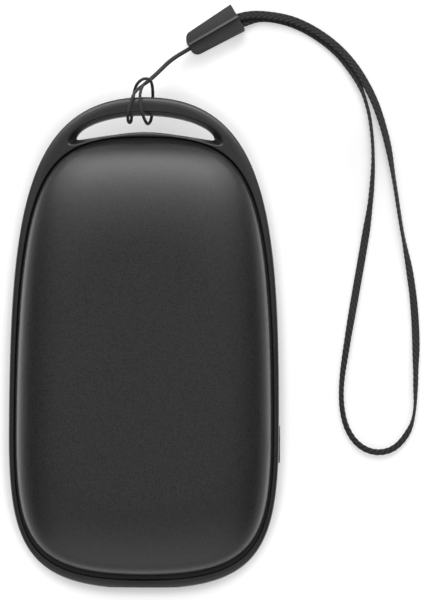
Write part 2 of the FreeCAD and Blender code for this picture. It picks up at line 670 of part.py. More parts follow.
def frame_bores():
    """Openings of the frame for the port, the button, the indicator lens and the screws."""
    clear = "Sizes.button_clearance"
    bore = "Sizes.screw_shank + 2 * Sizes.screw_clearance"
    usb = stadium_bar(
        "port_opening",
        "XZ_Plane",
        "Sizes.usb_width + 2 * Sizes.usb_clearance",
        "Sizes.usb_height + 2 * Sizes.usb_clearance",
        "Sizes.usb_length",
    )
    place(usb, "0", f"{USB_MOUTH} - Sizes.usb_setback + Sizes.usb_length - Sizes.facet_depth", USB_LEVEL)
    recess = stadium_bar(
        "button_hollow",
        "YZ_Plane",
        "Sizes.button_length + 2 * Sizes.button_recess_rim",
        "Sizes.button_height + 2 * Sizes.button_recess_rim",
        "Sizes.lip_side",
    )
    place(recess, f"{BAND_SIDE} - Sizes.button_recess", BUTTON, MID)
    slot = stadium_bar(
        "button_slot",
        "YZ_Plane",
        f"Sizes.button_length + 2 * {clear}",
        f"Sizes.button_height + 2 * {clear}",
        "2 * Sizes.lip_side",
    )
    place(slot, f"{LIP_BACK} - Sizes.lip_side", BUTTON, MID)
    reach = f"({FLANGE_LENGTH} / 2 + {clear})"
    inner = f"({LEDGE_SIDE} - Sizes.lip_side)"
    near, far = f"({BUTTON} - {reach})", f"({BUTTON} + {reach})"
    notch = box(
        "button_notch",
        (inner, near, f"({WEB_UNDER} + Sizes.notch_skin)"),
        (LIP_BACK, far, f"({WEB_TOP} - Sizes.notch_skin)"),
    )
    rib_gap = box(
        "button_rib_gap",
        (inner, near, f"({WEB_UNDER} - Sizes.rib_height)"),
        (f"({SHELL_SIDE} - Sizes.shell_wall)", far, f"({WEB_TOP} + Sizes.rib_height)"),
    )
    lens = stadium_bar(
        "lens_slot",
        "YZ_Plane",
        "Sizes.lens_length + 2 * Sizes.lens_clearance",
        "Sizes.lens_height + 2 * Sizes.lens_clearance",
        f"{BAND_SIDE} + Sizes.lip_side - {LENS_END} + Sizes.led_gap",
    )
    place(lens, f"{LENS_END} - Sizes.led_gap", LENS, MID)
    cradle, board = screw_places()
    depth = "(Sizes.screw_length - Sizes.ear_thickness)"
    height = "(Sizes.screw_length - Sizes.board_thickness)"
    bores = [usb, recess, slot, notch, rib_gap, lens]
    for index, (x, y) in enumerate(cradle, 1):
        bores.append(rod(f"cradle_bore_{index}", bore, depth, x, y, f"{WEB_TOP} - {depth}"))
    for index, (x, y) in enumerate(board, 1):
        bores.append(rod(f"board_bore_{index}", bore, height, x, y, WEB_UNDER))
    return fused("frame_bores", bores)


def make_frame():
    """The moulded mid frame with its carrying arch."""
    facet = box(
        "port_facet",
        (f"-{BAND_SIDE}", f"({PORT_END} - Sizes.lip_end)", "0"),
        (BAND_SIDE, FACET, "Sizes.body_thickness"),
    )
    openings = fused(
        "frame_openings",
        [plain("channels", frame_channels()), plain("strap_opening", strap_opening()), facet],
    )
    ring = combined("Part::Cut", "frame_ring", plain("frame_band", band_form()), openings)
    return combined("Part::Cut", "mid_frame", fused("frame_blank", [ring, frame_lugs()]), frame_bores())


def make_button():
    """The side button: a rounded bar through the lip, a retaining flange and a post to the switch."""
    body = new_body("power_button")
    flange = new_sketch(body, "flange_section", "YZ_Plane")
    rectangle(
        flange,
        f"-{FLANGE_LENGTH} / 2",
        f"{FLANGE_LENGTH} / 2",
        f"-{FLANGE_HEIGHT} / 2",
        f"{FLANGE_HEIGHT} / 2",
    )
    pad(body, flange, "flange", "Sizes.flange_thickness")
    bar = new_sketch(body, "bar_section", "YZ_Plane", "Sizes.flange_thickness")
    stadium(bar, "Sizes.button_length", "Sizes.button_height")
    pad(body, bar, "bar", f"{BAND_SIDE} + Sizes.button_proud - {FLANGE_FACE}")
    reach = f"({FLANGE_FACE} - Sizes.flange_thickness - {STEM_TIP})"
    post = new_sketch(body, "post_section", "YZ_Plane", f"-{reach}")
    circle(post, "Sizes.post_diameter")
    last = pad(body, post, "post", reach)
    doc.recompute()
    face = last.Shape.BoundBox.XMax
    rounded(
        body,
        "button_rounding",
        last,
        "Sizes.button_round",
        lambda edge: edge.BoundBox.XMin > face - 1e-6,
    )
    return place(body, f"{FLANGE_FACE} - Sizes.flange_thickness", BUTTON, MID)


def make_switch():
    """The push switch behind the button: its body with a pocket, and the stem that slides in it."""
    body = new_body("switch_body")
    plan = new_sketch(body, "switch_plan", "XY_Plane")
    rectangle(plan, "-Sizes.switch_depth", "0", "-Sizes.switch_length / 2", "Sizes.switch_length / 2")
    pad(body, plan, "switch_pad", "Sizes.switch_height")
    mouth = new_sketch(body, "pocket_section", "YZ_Plane")
    level = f"({MID} - {WEB_UNDER})"
    half_width = "(Sizes.stem_width / 2 + Sizes.stem_clearance)"
    half_height = "(Sizes.stem_height / 2 + Sizes.stem_clearance)"
    rectangle(mouth, f"-{half_width}", half_width, f"{level} - {half_height}", f"{level} + {half_height}")
    doc.recompute()
    before = body.Shape.Volume
    pocket = body.newObject("PartDesign::Pocket", "stem_pocket")
    pocket.Profile = mouth
    pocket.setExpression(
        "Length", "Sizes.stem_length - Sizes.stem_proud + Sizes.button_travel + 4 * Sizes.stem_clearance"
    )
    doc.recompute()
    if body.Shape.Volume >= before:
        raise RuntimeError("the stem pocket cuts nothing")
    place(body, SWITCH_FRONT, BUTTON, WEB_UNDER)
    stem = box(
        "switch_stem",
        (
            f"({STEM_TIP} - Sizes.stem_length)",
            f"({BUTTON} - Sizes.stem_width / 2)",
            f"({MID} - Sizes.stem_height / 2)",
        ),
        (
            STEM_TIP,
            f"({BUTTON} + Sizes.stem_width / 2)",
            f"({MID} + Sizes.stem_height / 2)",
        ),
    )
    return [body, stem]


def make_indicator():
    """The light bar flush in the band, and the three lamps behind it."""
    bar = stadium_bar(
        "lens_bar",
        "YZ_Plane",
        "Sizes.lens_length",
        "Sizes.lens_height",
        f"{BAND_SIDE} + Sizes.lip_side - {LENS_END}",
    )
    place(bar, LENS_END, LENS, MID)
    lens = combined("Part::Common", "indicator_lens", bar, plain("lens_trim", band_form()))
    lamps = []
    for index in (-1, 0, 1):
        centre = f"({LENS} + {index} * Sizes.led_pitch)"
        lamps.append(
            box(
                f"lamp_{index + 2}",
                (
                    f"({LENS_END} - Sizes.led_gap - Sizes.led_depth)",
                    f"({centre} - Sizes.led_width / 2)",
                    WEB_UNDER,
                ),
                (
                    f"({LENS_END} - Sizes.led_gap)",
                    f"({centre} + Sizes.led_width / 2)",
                    f"({WEB_UNDER} + Sizes.led_height)",
                ),
            )
        )
    group = doc.addObject("Part::Compound", "indicator_lamps")
    group.Links = lamps
    return [lens, group]


def make_board():
    """The control board: a foot across the port end and an arm up the right side, bored for its screws."""
    outline = shell_outline().inset(size("web_width") + size("board_clearance"))
    edge = plain("board_outline", outline.prism(measure(BOARD_UNDER), measure(WEB_UNDER)))
    arm_end = f"({ARM_SCREW} + Sizes.arm_end)"
    foot = box(
        "board_foot",
        (f"-{BAND_SIDE}", PORT_END, BOARD_UNDER),
        (BAND_SIDE, BOARD_EDGE, WEB_UNDER),
    )
    arm = box(
        "board_arm_strip",
        (ARM_INNER, f"({BOARD_EDGE} - Sizes.board_edge_in)", BOARD_UNDER),
        (BAND_SIDE, arm_end, WEB_UNDER),
    )
    blank = combined("Part::Common", "board_blank", fused("board_strips", [foot, arm]), edge)
    bore = "Sizes.screw_shank + 2 * Sizes.screw_clearance"
    bores = [
        rod(f"board_hole_{index}", bore, "Sizes.board_thickness", x, y, BOARD_UNDER)
        for index, (x, y) in enumerate(screw_places()[1], 1)
    ]
    return combined("Part::Cut", "control_board", blank, fused("board_holes", bores))


def make_components():
    """The controller chip, the converter coil and the capacitors on the foot of the board."""
    half = "Sizes.chip_width / 2"
    beside = "(Sizes.usb_width / 2 + Sizes.component_side)"
    chip = box(
        "controller_chip",
        (f"(-{beside} - Sizes.chip_width)", f"({COMPONENTS} - {half})", WEB_UNDER),
        (f"(-{beside})", f"({COMPONENTS} + {half})", f"({WEB_UNDER} + Sizes.chip_height)"),
    )
    coil = new_body("converter_coil")
    plan = new_sketch(coil, "coil_plan", "XY_Plane")
    reach = "Sizes.inductor_width / 2"
    rectangle(plan, f"-{reach}", reach, f"-{reach}", reach)
    block = pad(coil, plan, "coil_pad", "Sizes.inductor_height")
    rounded(coil, "coil_corners", block, "Sizes.inductor_corner", upright)
    place(coil, f"{beside} + {reach}", COMPONENTS, WEB_UNDER)
    row = []
    first = "(Sizes.usb_width / 2 + Sizes.capacitor_side + Sizes.capacitor_width / 2)"
    for index, side in enumerate((-1, -1, 1, 1)):
        x = f"({side} * ({first} + {index % 2} * Sizes.capacitor_pitch))"
        row.append(
            box(
                f"capacitor_{index + 1}",
                (f"({x} - Sizes.capacitor_width / 2)", CAPACITORS, WEB_UNDER),
                (
                    f"({x} + Sizes.capacitor_width / 2)",
                    f"({CAPACITORS} + Sizes.capacitor_length)",
                    f"({WEB_UNDER} + Sizes.capacitor_height)",
                ),
            )
        )
    group = doc.addObject("Part::Compound", "chip_capacitors")
    group.Links = row
    return [chip, coil, group]


def make_port():
    """The charging receptacle: a drawn steel shell with a closed back, and the tongue moulding in it."""
    steel = new_body("usb_c_shell")
    ring = new_sketch(steel, "receptacle_ring", "XZ_Plane")
    wall = "2 * Sizes.usb_wall"
    stadium(ring, "Sizes.usb_width", "Sizes.usb_height")
    stadium(ring, f"Sizes.usb_width - {wall}", f"Sizes.usb_height - {wall}")
    pad(steel, ring, "receptacle_tube", "Sizes.usb_length")
    back = new_sketch(steel, "receptacle_back", "XZ_Plane")
    stadium(back, "Sizes.usb_width", "Sizes.usb_height")
    pad(steel, back, "receptacle_end", "Sizes.usb_wall")
    behind = f"({USB_MOUTH} + Sizes.usb_length)"
    place(steel, "0", behind, USB_LEVEL)
    tongue = new_body("usb_c_tongue")
    room = f"{wall} + 2 * Sizes.tongue_clearance"
    base = new_sketch(tongue, "tongue_base_section", "XZ_Plane")
    stadium(base, f"Sizes.usb_width - ({room})", f"Sizes.usb_height - ({room})")
    pad(tongue, base, "tongue_root", "Sizes.tongue_base")
    blade = new_sketch(tongue, "tongue_section", "XZ_Plane")
    half_width, half_height = "(Sizes.usb_width / 2 - Sizes.tongue_side)", "Sizes.tongue_thickness / 2"
    rectangle(blade, f"-{half_width}", half_width, f"-{half_height}", half_height)
    pad(tongue, blade, "tongue_blade", "Sizes.usb_length - Sizes.usb_wall - Sizes.tongue_setback")
    place(tongue, "0", f"{behind} - Sizes.usb_wall", USB_LEVEL)
    return [steel, tongue]


def make_cells():
    """Two sleeved cells side by side, their positive caps towards the arch."""
    cells = []
    for name, side in (("cell_left", "-1"), ("cell_right", "1")):
        body = new_body(name)
        profile = new_sketch(body, f"{name}_profile", "XY_Plane")
        radius, length = "Sizes.cell_diameter / 2", "Sizes.cell_length"
        sunk = f"{length} - Sizes.cell_recess"
        corners = (
            ("0", "0"),
            (radius, "0"),
            (radius, length),
            (f"{CELL_RING} / 2", length),
            (f"{CELL_RING} / 2", sunk),
            ("Sizes.cell_cap / 2", sunk),
            ("Sizes.cell_cap / 2", length),
            ("0", length),
        )
        polygon(profile, corners)
        can = revolution(body, profile, f"{name}_can")
        rounded(
            body,
            f"{name}_ends",
            can,
            "Sizes.cell_edge",
            lambda edge: hasattr(edge.Curve, "Radius")
            and 2 * edge.Curve.Radius > measure(CELL_RING) + 1e-6,
        )
        cells.append(place(body, f"{side} * {CELL_SIDE}", CELL_LOW, MID))
    return cells


def make_strips():
    """The nickel strips welded across the cell ends, each with a solder tab."""
    strips = []
    half, tab = f"({CELL_SIDE} + Sizes.strip_lap)", "Sizes.strip_tab / 2"
    rise = "Sizes.strip_height / 2"
    for name, station in (
        ("cell_strip_top", f"{CELL_HIGH} + Sizes.strip_thickness"),
        ("cell_strip_bottom", CELL_LOW),
    ):
        body = new_body(name)
        sketch = new_sketch(body, f"{name}_outline", "XZ_Plane")
        corners = (
            (f"-{half}", f"-{rise}"),
            (half, f"-{rise}"),
            (half, rise),
            (tab, rise),
            (tab, "Sizes.strip_reach"),
            (f"-{tab}", "Sizes.strip_reach"),
            (f"-{tab}", rise),
            (f"-{half}", rise),
        )
        polygon(sketch, corners)
        pad(body, sketch, f"{name}_pad", "Sizes.strip_thickness")
        strips.append(place(body, "0", station, MID))
    return strips


def make_cradle():
    """The moulded cradle: a frame round the cells with three ears on the lugs."""
    body = new_body("cell_cradle")
    walls = new_sketch(body, "cradle_walls", "XY_Plane")
    low, high = f"({CRADLE_LOW} - Sizes.cradle_wall)", f"({CRADLE_HIGH} + Sizes.cradle_wall)"
    rectangle(walls, f"-{CRADLE_OUT}", CRADLE_OUT, low, high)
    rectangle(walls, f"-{CRADLE_SIDE}", CRADLE_SIDE, CRADLE_LOW, CRADLE_HIGH)
    base = f"({WEB_UNDER} + Sizes.cradle_lift)"
    frame = pad(body, walls, "cradle_frame", f"{EAR_TOP} - {base}")
    outside = measure(CRADLE_OUT)
    rounded(
        body,
        "cradle_rounding",
        frame,
        "Sizes.cradle_corner",
        lambda edge: upright(edge) and abs(abs(edge.BoundBox.XMin) - outside) < 1e-6,
    )
    ears = new_sketch(body, "cradle_ears", "XY_Plane", f"{WEB_TOP} - {base}")
    half = "(Sizes.ear_width / 2)"
    tip = f"({SIDE_SCREW} + Sizes.ear_reach)"
    root = f"({CRADLE_OUT} - Sizes.cradle_wall / 2)"
    rectangle(ears, root, tip, f"{CRADLE_SCREW} - {half}", f"{CRADLE_SCREW} + {half}")
    rectangle(ears, f"-{tip}", f"-{root}", f"{CRADLE_SCREW} - {half}", f"{CRADLE_SCREW} + {half}")
    top_root = f"({high} - Sizes.cradle_wall / 2)"
    rectangle(ears, f"-{half}", half, top_root, f"{TOP_SCREW} + Sizes.ear_reach")
    for x, y in screw_places()[0]:
        circle(ears, "Sizes.screw_shank + 2 * Sizes.screw_clearance", x, y)
    pad(body, ears, "cradle_ear_pads", "Sizes.ear_thickness")
    return place(body, "0", "0", base)


def make_screws():
    """The cradle screws, driven from above, and the board screws, driven from below."""
    body = new_body("screw_form")
    profile = new_sketch(body, "screw_profile", "XZ_Plane")
    head, shank = "Sizes.screw_head / 2", "Sizes.screw_shank / 2"
    tip = f"-(Sizes.screw_length - {shank})"
    corners = (
        ("0", "Sizes.screw_head_height"),
        (f"{shank}", "Sizes.screw_head_height"),
        (head, "Sizes.screw_head_height / 2"),
        (head, "0"),
        (shank, "0"),
        (shank, tip),
        ("0", "-Sizes.screw_length"),
    )
    polygon(profile, corners)
    revolution(body, profile, "screw_turned")
    doc.recompute()
    cradle, board = screw_places()
    groups = []
    for name, places, level, tilt in (
        ("cradle_screws", cradle, EAR_TOP, 0),
        ("board_screws", board, BOARD_UNDER, 180),
    ):
        copies = []
        for x, y in places:
            screw = body.Shape.copy()
            centre = Vector(measure(x), measure(y), measure(level))
            screw.Placement = Placement(centre, Rotation(Vector(1, 0, 0), tilt))
            copies.append(screw)
        groups.append(plain(name, Part.makeCompound(copies)))
    return groups


def make_heaters():
    """A heater film on the flat inside of each shell, and the insulation between it and the cells."""
    wall, film = size("shell_wall"), size("film_thickness")
    rounding = [size(f"dome_{part}") + wall + size("film_margin") for part in ("side", "top", "heel")]
    heater = shell_outline().inset(*rounding)
    margin = size("pad_margin")
    cover = heater.inset(margin, margin, size("pad_heel"))
    middle = measure(MID)
    inside = size("body_thickness") / 2 - wall
    near = size("cell_diameter") / 2 + size("pad_gap")
    pieces = []
    for name, side in (("back", 1), ("front", -1)):
        levels = [middle + side * reach for reach in (inside, inside - film, near)]
        pieces.append(plain(f"heater_film_{name}", heater.prism(min(levels[:2]), max(levels[:2]))))
        pieces.append(plain(f"insulation_pad_{name}", cover.prism(min(levels[1:]), max(levels[1:]))))
    return pieces


def tangent_path(points):
    """Straight runs joined by the largest tangent arcs that the runs leave room for."""
    share = 0.45
    edges, radii = [], []
    start = points[0]
    for before, corner, after in zip(points, points[1:], points[2:]):
        toward, onward = corner - before, after - corner
        reach = share * min(toward.Length, onward.Length)
        turn = toward.getAngle(onward)
        toward.normalize()
        onward.normalize()
        radius = reach / math.tan(turn / 2)
        inward = onward - toward
        inward.normalize()
        enter, leave = corner - toward * reach, corner + onward * reach
        middle = corner + inward * (radius / math.cos(turn / 2) - radius)
        edges.append(Part.LineSegment(start, enter).toShape())
        edges.append(Part.Arc(enter, middle, leave).toShape())
        radii.append(radius)
        start = leave
    edges.append(Part.LineSegment(start, points[-1]).toShape())
    return Part.Wire(edges), radii


def least_gap(path, thickness, apart):
    """The least clear distance of a cord to itself, between points further apart along it than a length."""
    count = int(path.Length / (thickness / 2))
    points = path.discretize(Number=count)
    skip = int(apart / (path.Length / (count - 1)))
    near = min(
        first.distanceToPoint(second)
        for index, first in enumerate(points)
        for second in points[index + skip:]
    )
    return near - thickness


def cord(name, route, section, area, upright_section=False):
    """A cord along a route: its section swept on runs and arcs, with the volume compared."""
    path, radii = tangent_path([Vector(*point) for point in route])
    start = Vector(*route[0])
    heading = Vector(*route[1]) - start
    sweep = Part.BRepOffsetAPI.MakePipeShell(path)
    if upright_section:
        sweep.setBiNormalMode(Vector(0, 0, 1))
    sweep.add(section(start, heading))
    sweep.build()
    sweep.makeSolid()
    shape = sweep.shape()
    expected = area * path.Length
    slack = 0.02
    if abs(shape.Volume - expected) > slack * expected:
        raise RuntimeError(f"{name}: volume {shape.Volume:.2f} for {expected:.2f}")
    print(name, "length", round(path.Length, 1), "radii", [round(radius, 1) for radius in radii])
    return shape, path


def round_section(diameter):
    """A circular section square to the start of a route, with its area."""

    def draw(start, heading):
        return Part.Wire(Part.Circle(start, heading, diameter / 2).toShape())

    return draw, math.pi * diameter**2 / 4


def tape_section(width, thickness):
    """A flat section with round edges, lying flat at the start of a route, with its area."""

    def draw(start, heading):
        across = Vector(0, 0, 1).cross(heading)
        across.normalize()
        rise = heading.cross(across)
        rise.normalize()
        side = across * ((width - thickness) / 2)
        half = rise * (thickness / 2)
        bulge = across * (width / 2)
        return Part.Wire(
            [
                Part.LineSegment(start - side - half, start + side - half).toShape(),
                Part.Arc(start + side - half, start + bulge, start + side + half).toShape(),
                Part.LineSegment(start + side + half, start - side + half).toShape(),
                Part.Arc(start - side + half, start - bulge, start - side - half).toShape(),
            ]
        )

    return draw, (width - thickness) * thickness + math.pi * thickness**2 / 4


def make_leads():
    """The battery leads, the heater leads and the thermistor with its leads."""
    middle, board, under = measure(MID), measure(WEB_UNDER), measure(BOARD_UNDER)
    low, high = measure(CELL_LOW), measure(CELL_HIGH)
    strip, lead = size("strip_thickness"), size("lead_diameter")
    tab = middle + size("strip_reach") - lead
    valley = middle + size("lead_valley") * size("cell_diameter")
    foot = measure(BOARD_EDGE) - size("lead_foot")
    round_lead = round_section(lead)
    span = high - low
    red = (
        (0, high + strip, tab),
        (0, high + strip + 1.45 * lead, tab),
        (0, high + strip + 2.25 * lead, tab + 1.3 * lead),
        (0, high + strip + 1.25 * lead, valley + 0.45 * lead),
        (0, high - 3 * lead, valley),
        (0.25 * lead, high - 0.22 * span, valley - 0.15 * lead),
        (0, high - 0.46 * span, valley),
        (-0.25 * lead, low + 0.29 * span, valley - 0.15 * lead),
        (0, low + 4 * lead, valley),
        (0, low - 1.2 * lead, valley - 0.3 * lead),
        (0, foot + 0.3 * lead, valley - 2.3 * lead),
        (0, foot, board + 2.6 * lead),
        (0, foot, board),
    )
    side = -size("strip_tab") / 2 + lead / 2
    black = (
        (side, low - strip, tab),
        (side, low - strip - 1.55 * lead, tab),
        (side - 0.25 * lead, foot + 0.25 * lead, tab - 1.7 * lead),
        (side - 0.3 * lead, foot, board + 1.85 * lead),
        (side - 0.3 * lead, foot, board),
    )
    pieces = [
        plain("battery_lead_positive", cord("battery_lead_positive", red, *round_lead)[0]),
        plain("battery_lead_negative", cord("battery_lead_negative", black, *round_lead)[0]),
    ]
    thin = size("heater_lead_diameter")
    round_heater = round_section(thin)
    tail = measure(SHELL_END) + size("dome_heel") + size("shell_wall") + size("film_margin")
    inside = size("body_thickness") / 2 - size("shell_wall") - size("film_thickness") - thin / 2
    for name, up, landing in (("back", 1, board), ("front", -1, under)):
        film = middle + up * inside
        drop = landing - film
        pair = []
        for x in (-size("heater_lead_side"), size("heater_lead_side")):
            route = (
                (x, tail + size("heater_lead_grip"), film),
                (x, tail - 1.6 * thin, film - 0.1 * thin * up),
                (x, foot - 0.6 * thin, film + 0.22 * drop),
                (x, foot - 0.9 * thin, film + 0.6 * drop),
                (x, foot - 0.9 * thin, landing),
            )
            pair.append(cord(f"heater_leads_{name}", route, *round_heater)[0])
        pieces.append(plain(f"heater_leads_{name}", Part.makeCompound(pair)))
    level = 2 * middle - valley
    bead_end = low + size("thermistor_station")
    length, diameter = size("thermistor_length"), size("thermistor_diameter")
    bead = Part.makeCylinder(diameter / 2, length, Vector(0, bead_end, level), Vector(0, 1, 0))
    rims = [edge for edge in bead.Edges if not hasattr(edge.Curve, "Direction")]
    bead = bead.makeFillet(size("thermistor_round"), rims)
    pieces.append(plain("thermistor", bead))
    fine = size("thermistor_lead")
    pair = []
    for x in (-size("thermistor_pitch") / 2, size("thermistor_pitch") / 2):
        wide = 2 * x
        route = (
            (x, bead_end, level),
            (x, bead_end - length, level),
            (wide, low + length / 2, level + 0.15 * fine),
            (wide, foot + 2 * fine, level + 0.45 * fine),
            (wide, foot, level + 2.6 * fine),
            (wide, foot, under),
        )
        pair.append(cord("thermistor_leads", route, *round_section(fine))[0])
    pieces.append(plain("thermistor_leads", Part.makeCompound(pair)))
    return pieces


# The thin cord leaves the strap end, goes over the arch bar, round it and back under itself as a loose
# lark's head, and returns to the strap end. Its points are the place across, the distance past the arch
# crown and the height as a share of the mid plane's.
CORD_ROUTE = (
    (11.8, 14.2, 0.176),
    (9.5, 12.8, 0.192),
    (6.9, 11.1, 0.392),
    (4.75, 9.15, 0.616),
    (2.7, 6.5, 0.864),
    (0.7, 4, 1.12),
    (-0.75, 2.3, 1.312),
    (-1.25, 0.15, 1.368),
    (-1.15, -2.1, 1.356),
    (-0.6, -4.1, 1.312),
    (0, -5.4, 1.136),
    (0.5, -5.55, 0.896),
    (1.1, -4.4, 0.688),
    (1.35, -2.4, 0.632),
    (1.45, -0.05, 0.648),
    (1.5, 1.7, 0.816),
    (1.4, 3, 1.056),
    (1, 3.75, 1.272),
    (-0.4, 3.9, 1.336),
    (-1.9, 3.1, 1.168),
    (-2.6, 1.8, 0.896),
    (-2.9, 0, 0.656),
    (-3.1, -2.4, 0.632),
    (-3.2, -4.1, 0.688),
    (-3.4, -5.2, 0.872),
    (-3.85, -5.3, 1.088),
    (-3.85, -4.05, 1.304),
    (-3.4, -2.1, 1.356),
    (-2.75, 0.15, 1.348),
    (-1.45, 2.1, 1.2),
    (0.7, 4, 0.944),
    (2.75, 6.45, 0.72),
    (4.8, 9.05, 0.48),
    (6.9, 11, 0.264),
    (9.5, 12.7, 0.112),
    (11.8, 14.2, 0.096),
)

# The woven strap leaves the strap end, lies in a long loop beside the body and returns to the strap end.
# Its points are the place across, the distance past the arch crown and the height.
STRAP_ROUTE = (
    (18.15, 19.08, 1.9),
    (20.2, 20.23, 1.8),
    (25.16, 20.85, 1.35),
    (33.94, 19.33, 1.15),
    (43.47, 12.99, 1.15),
    (49.74, 3.94, 1.15),
    (53.37, -6.5, 0.8),
    (55.15, -17.36, 0.4),
    (56.74, -28.23, 0.4),
    (58.91, -39.02, 0.4),
    (59.85, -49.99, 0.4),
    (59.73, -60.61, 0.4),
    (59.61, -68.43, 0.4),
    (57.78, -73.61, 0.4),
    (54.42, -76.8, 0.4),
    (50.02, -77.25, 0.4),
    (46.19, -74.92, 0.4),
    (43.66, -70.31, 0.4),
    (42.95, -63.24, 0.4),
    (44.46, -53.18, 0.4),
    (46.33, -42.31, 0.4),
    (48.22, -31.51, 0.4),
    (49.95, -20.61, 0.4),
    (50.53, -9.67, 0.4),
    (49.11, 1.38, 0.4),
    (44.09, 11.16, 0.4),
    (34.89, 18.07, 0.4),
    (26.11, 19.98, 0.45),
    (21.31, 18.13, 0.9),
    (19.27, 17.18, 1.3),
)


def hung(route, rise=1.0):
    """A route that is measured from the arch crown, with its heights multiplied."""
    crown = measure(CROWN)
    return [(across, crown + beyond, height * rise) for across, beyond, height in route]


def make_strap():
    """The thin cord hitched to the arch, the moulded strap end and the woven strap."""
    thickness = size("cord_diameter")
    thin, thin_path = cord("strap_cord", hung(CORD_ROUTE, measure(MID)), *round_section(thickness))
    width, tape_thickness = size("strap_width"), size("strap_thickness")
    tape = tape_section(width, tape_thickness)
    strap, strap_path = cord("wrist_strap", hung(STRAP_ROUTE), *tape, upright_section=True)
    print("strap_cord least gap", round(least_gap(thin_path, thickness, 5 * thickness), 2))
    print("wrist_strap least gap", round(least_gap(strap_path, tape_thickness, 5 * width), 2))
    return [plain("strap_cord", thin), make_crimp(), plain("wrist_strap", strap)]


def make_crimp():
    """The moulded strap end: a tapered block with one half of its face raised along a step."""
    body = new_body("strap_crimp")
    plan = new_sketch(body, "crimp_plan", "XY_Plane")
    narrow, wide = "Sizes.crimp_narrow / 2", "Sizes.crimp_wide / 2"
    long = "Sizes.crimp_length"
    polygon(plan, (("0", f"-{narrow}"), (long, f"-{wide}"), (long, wide), ("0", narrow)))
    pad(body, plan, "crimp_block", "Sizes.crimp_thickness")
    raised = new_sketch(body, "crimp_raised", "XY_Plane", "Sizes.crimp_thickness")
    polygon(raised, (("0", "0"), (long, "0"), (long, wide), ("0", narrow)))
    step = pad(body, raised, "crimp_half", "Sizes.crimp_step")
    doc.recompute()
    corners = rounded(
        body,
        "crimp_corners",
        step,
        "Sizes.crimp_corner",
        lambda edge: upright(edge) and edge.BoundBox.XMax < 1e-6 and abs(edge.BoundBox.YMin) > 1e-6,
    )
    doc.recompute()
    top = corners.Shape.BoundBox.ZMax
    rounded(
        body,
        "crimp_edges",
        corners,
        "Sizes.crimp_round",
        lambda edge: edge.BoundBox.ZMin > top - 1e-6,
    )
    body.Placement.Rotation = Rotation(Vector(0, 0, 1), size("crimp_turn"))
    return place(body, "Sizes.crimp_side", f"{CROWN} + Sizes.crimp_beyond")


def main():
    """Builds every piece, tests it and writes it out."""
    settle_sizes()
    pieces = [make_shell("back_shell", 1), make_shell("front_shell", -1), make_frame(), make_button()]
    pieces += make_switch()
    pieces += make_indicator()
    pieces.append(make_board())
    pieces += make_components()
    pieces += make_port()
    pieces += make_cells()
    pieces += make_strips()
    pieces.append(make_cradle())
    pieces += make_screws()
    pieces += make_heaters()
    pieces += make_leads()
    pieces += make_strap()
    for piece in pieces:
        piece.Label = piece.Name
    doc.recompute()
    failed = [item.Name for item in doc.Objects if {"Invalid", "Error"} & set(item.State)]
    if failed:
        raise RuntimeError(f"not built: {failed}")
    for piece in pieces:
        if piece.Shape.isNull() or not piece.Shape.isValid() or not piece.Shape.Solids:
            raise RuntimeError(f"{piece.Label} is not a valid solid")
    os.makedirs("parts", exist_ok=True)
    for piece in pieces:
        print(piece.Label, len(piece.Shape.Solids), "solids", round(piece.Shape.Volume, 2), "mm3")
        piece.Shape.exportStep(f"parts/{piece.Label}.step")


main()
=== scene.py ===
import logging
import math
from abc import ABC, abstractmethod
from dataclasses import dataclass, field
from enum import Enum
from typing import Optional, Sequence, Union

import bmesh
import bpy
from mathutils import Matrix, Vector


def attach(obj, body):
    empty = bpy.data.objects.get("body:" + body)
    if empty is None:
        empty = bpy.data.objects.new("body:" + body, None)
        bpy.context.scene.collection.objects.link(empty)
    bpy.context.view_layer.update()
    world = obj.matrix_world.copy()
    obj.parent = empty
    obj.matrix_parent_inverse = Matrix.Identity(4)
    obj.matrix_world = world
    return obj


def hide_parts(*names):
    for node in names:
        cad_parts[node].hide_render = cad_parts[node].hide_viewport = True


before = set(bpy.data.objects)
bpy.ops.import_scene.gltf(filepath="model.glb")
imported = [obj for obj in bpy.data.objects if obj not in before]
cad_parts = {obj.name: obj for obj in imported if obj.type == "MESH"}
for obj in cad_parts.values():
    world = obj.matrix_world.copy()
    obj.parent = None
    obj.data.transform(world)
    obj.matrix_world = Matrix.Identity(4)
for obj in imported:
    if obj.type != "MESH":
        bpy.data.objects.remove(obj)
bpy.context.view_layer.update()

MM = 0.001
FULL_TURN = 2 * math.pi
ORIGIN = (0.0, 0.0, 0.0)
UNSTRETCHED = (1.0, 1.0, 1.0)
UNIT_SPAN = (0.0, 1.0)
YARN_HEIGHT = "relief"
HOUSING = "housing"

log = logging.getLogger("hand_warmer")

Object = bpy.types.Object
Mesh = bpy.types.Mesh
Shape = bmesh.types.BMesh
Material = bpy.types.Material
Socket = bpy.types.NodeSocket
Colour = tuple[float, float, float]
Place = tuple[float, float, float]
Span = tuple[float, float]
Stops = Sequence[tuple[float, float]]
Feed = Union[float, Sequence[float], Socket]


class Pattern(Enum):
    """What a pattern follows: the solid's own place, the map on its surface, or the sky."""

    SOLID = "Object"
    SURFACE = "UV"
    SKY = "Generated"


class Mixing(Enum):
    """How two colours are put together."""

    BLEND = "MIX"
    MULTIPLY = "MULTIPLY"


class Operation(Enum):
    """What a node works out from values or vectors."""

    ADD = "ADD"
    SUBTRACT = "SUBTRACT"
    MULTIPLY = "MULTIPLY"
    DIVIDE = "DIVIDE"
    POWER = "POWER"
    MAXIMUM = "MAXIMUM"
    ABSOLUTE = "ABSOLUTE"
    GREATER_THAN = "GREATER_THAN"
    LENGTH = "LENGTH"


@dataclass(frozen=True)
class Grain:
    """A noise: its blobs' width, its finer layers, how it is stretched and what it follows."""

    size: float
    layers: float
    stretch: Place = UNSTRETCHED
    pattern: Pattern = Pattern.SOLID


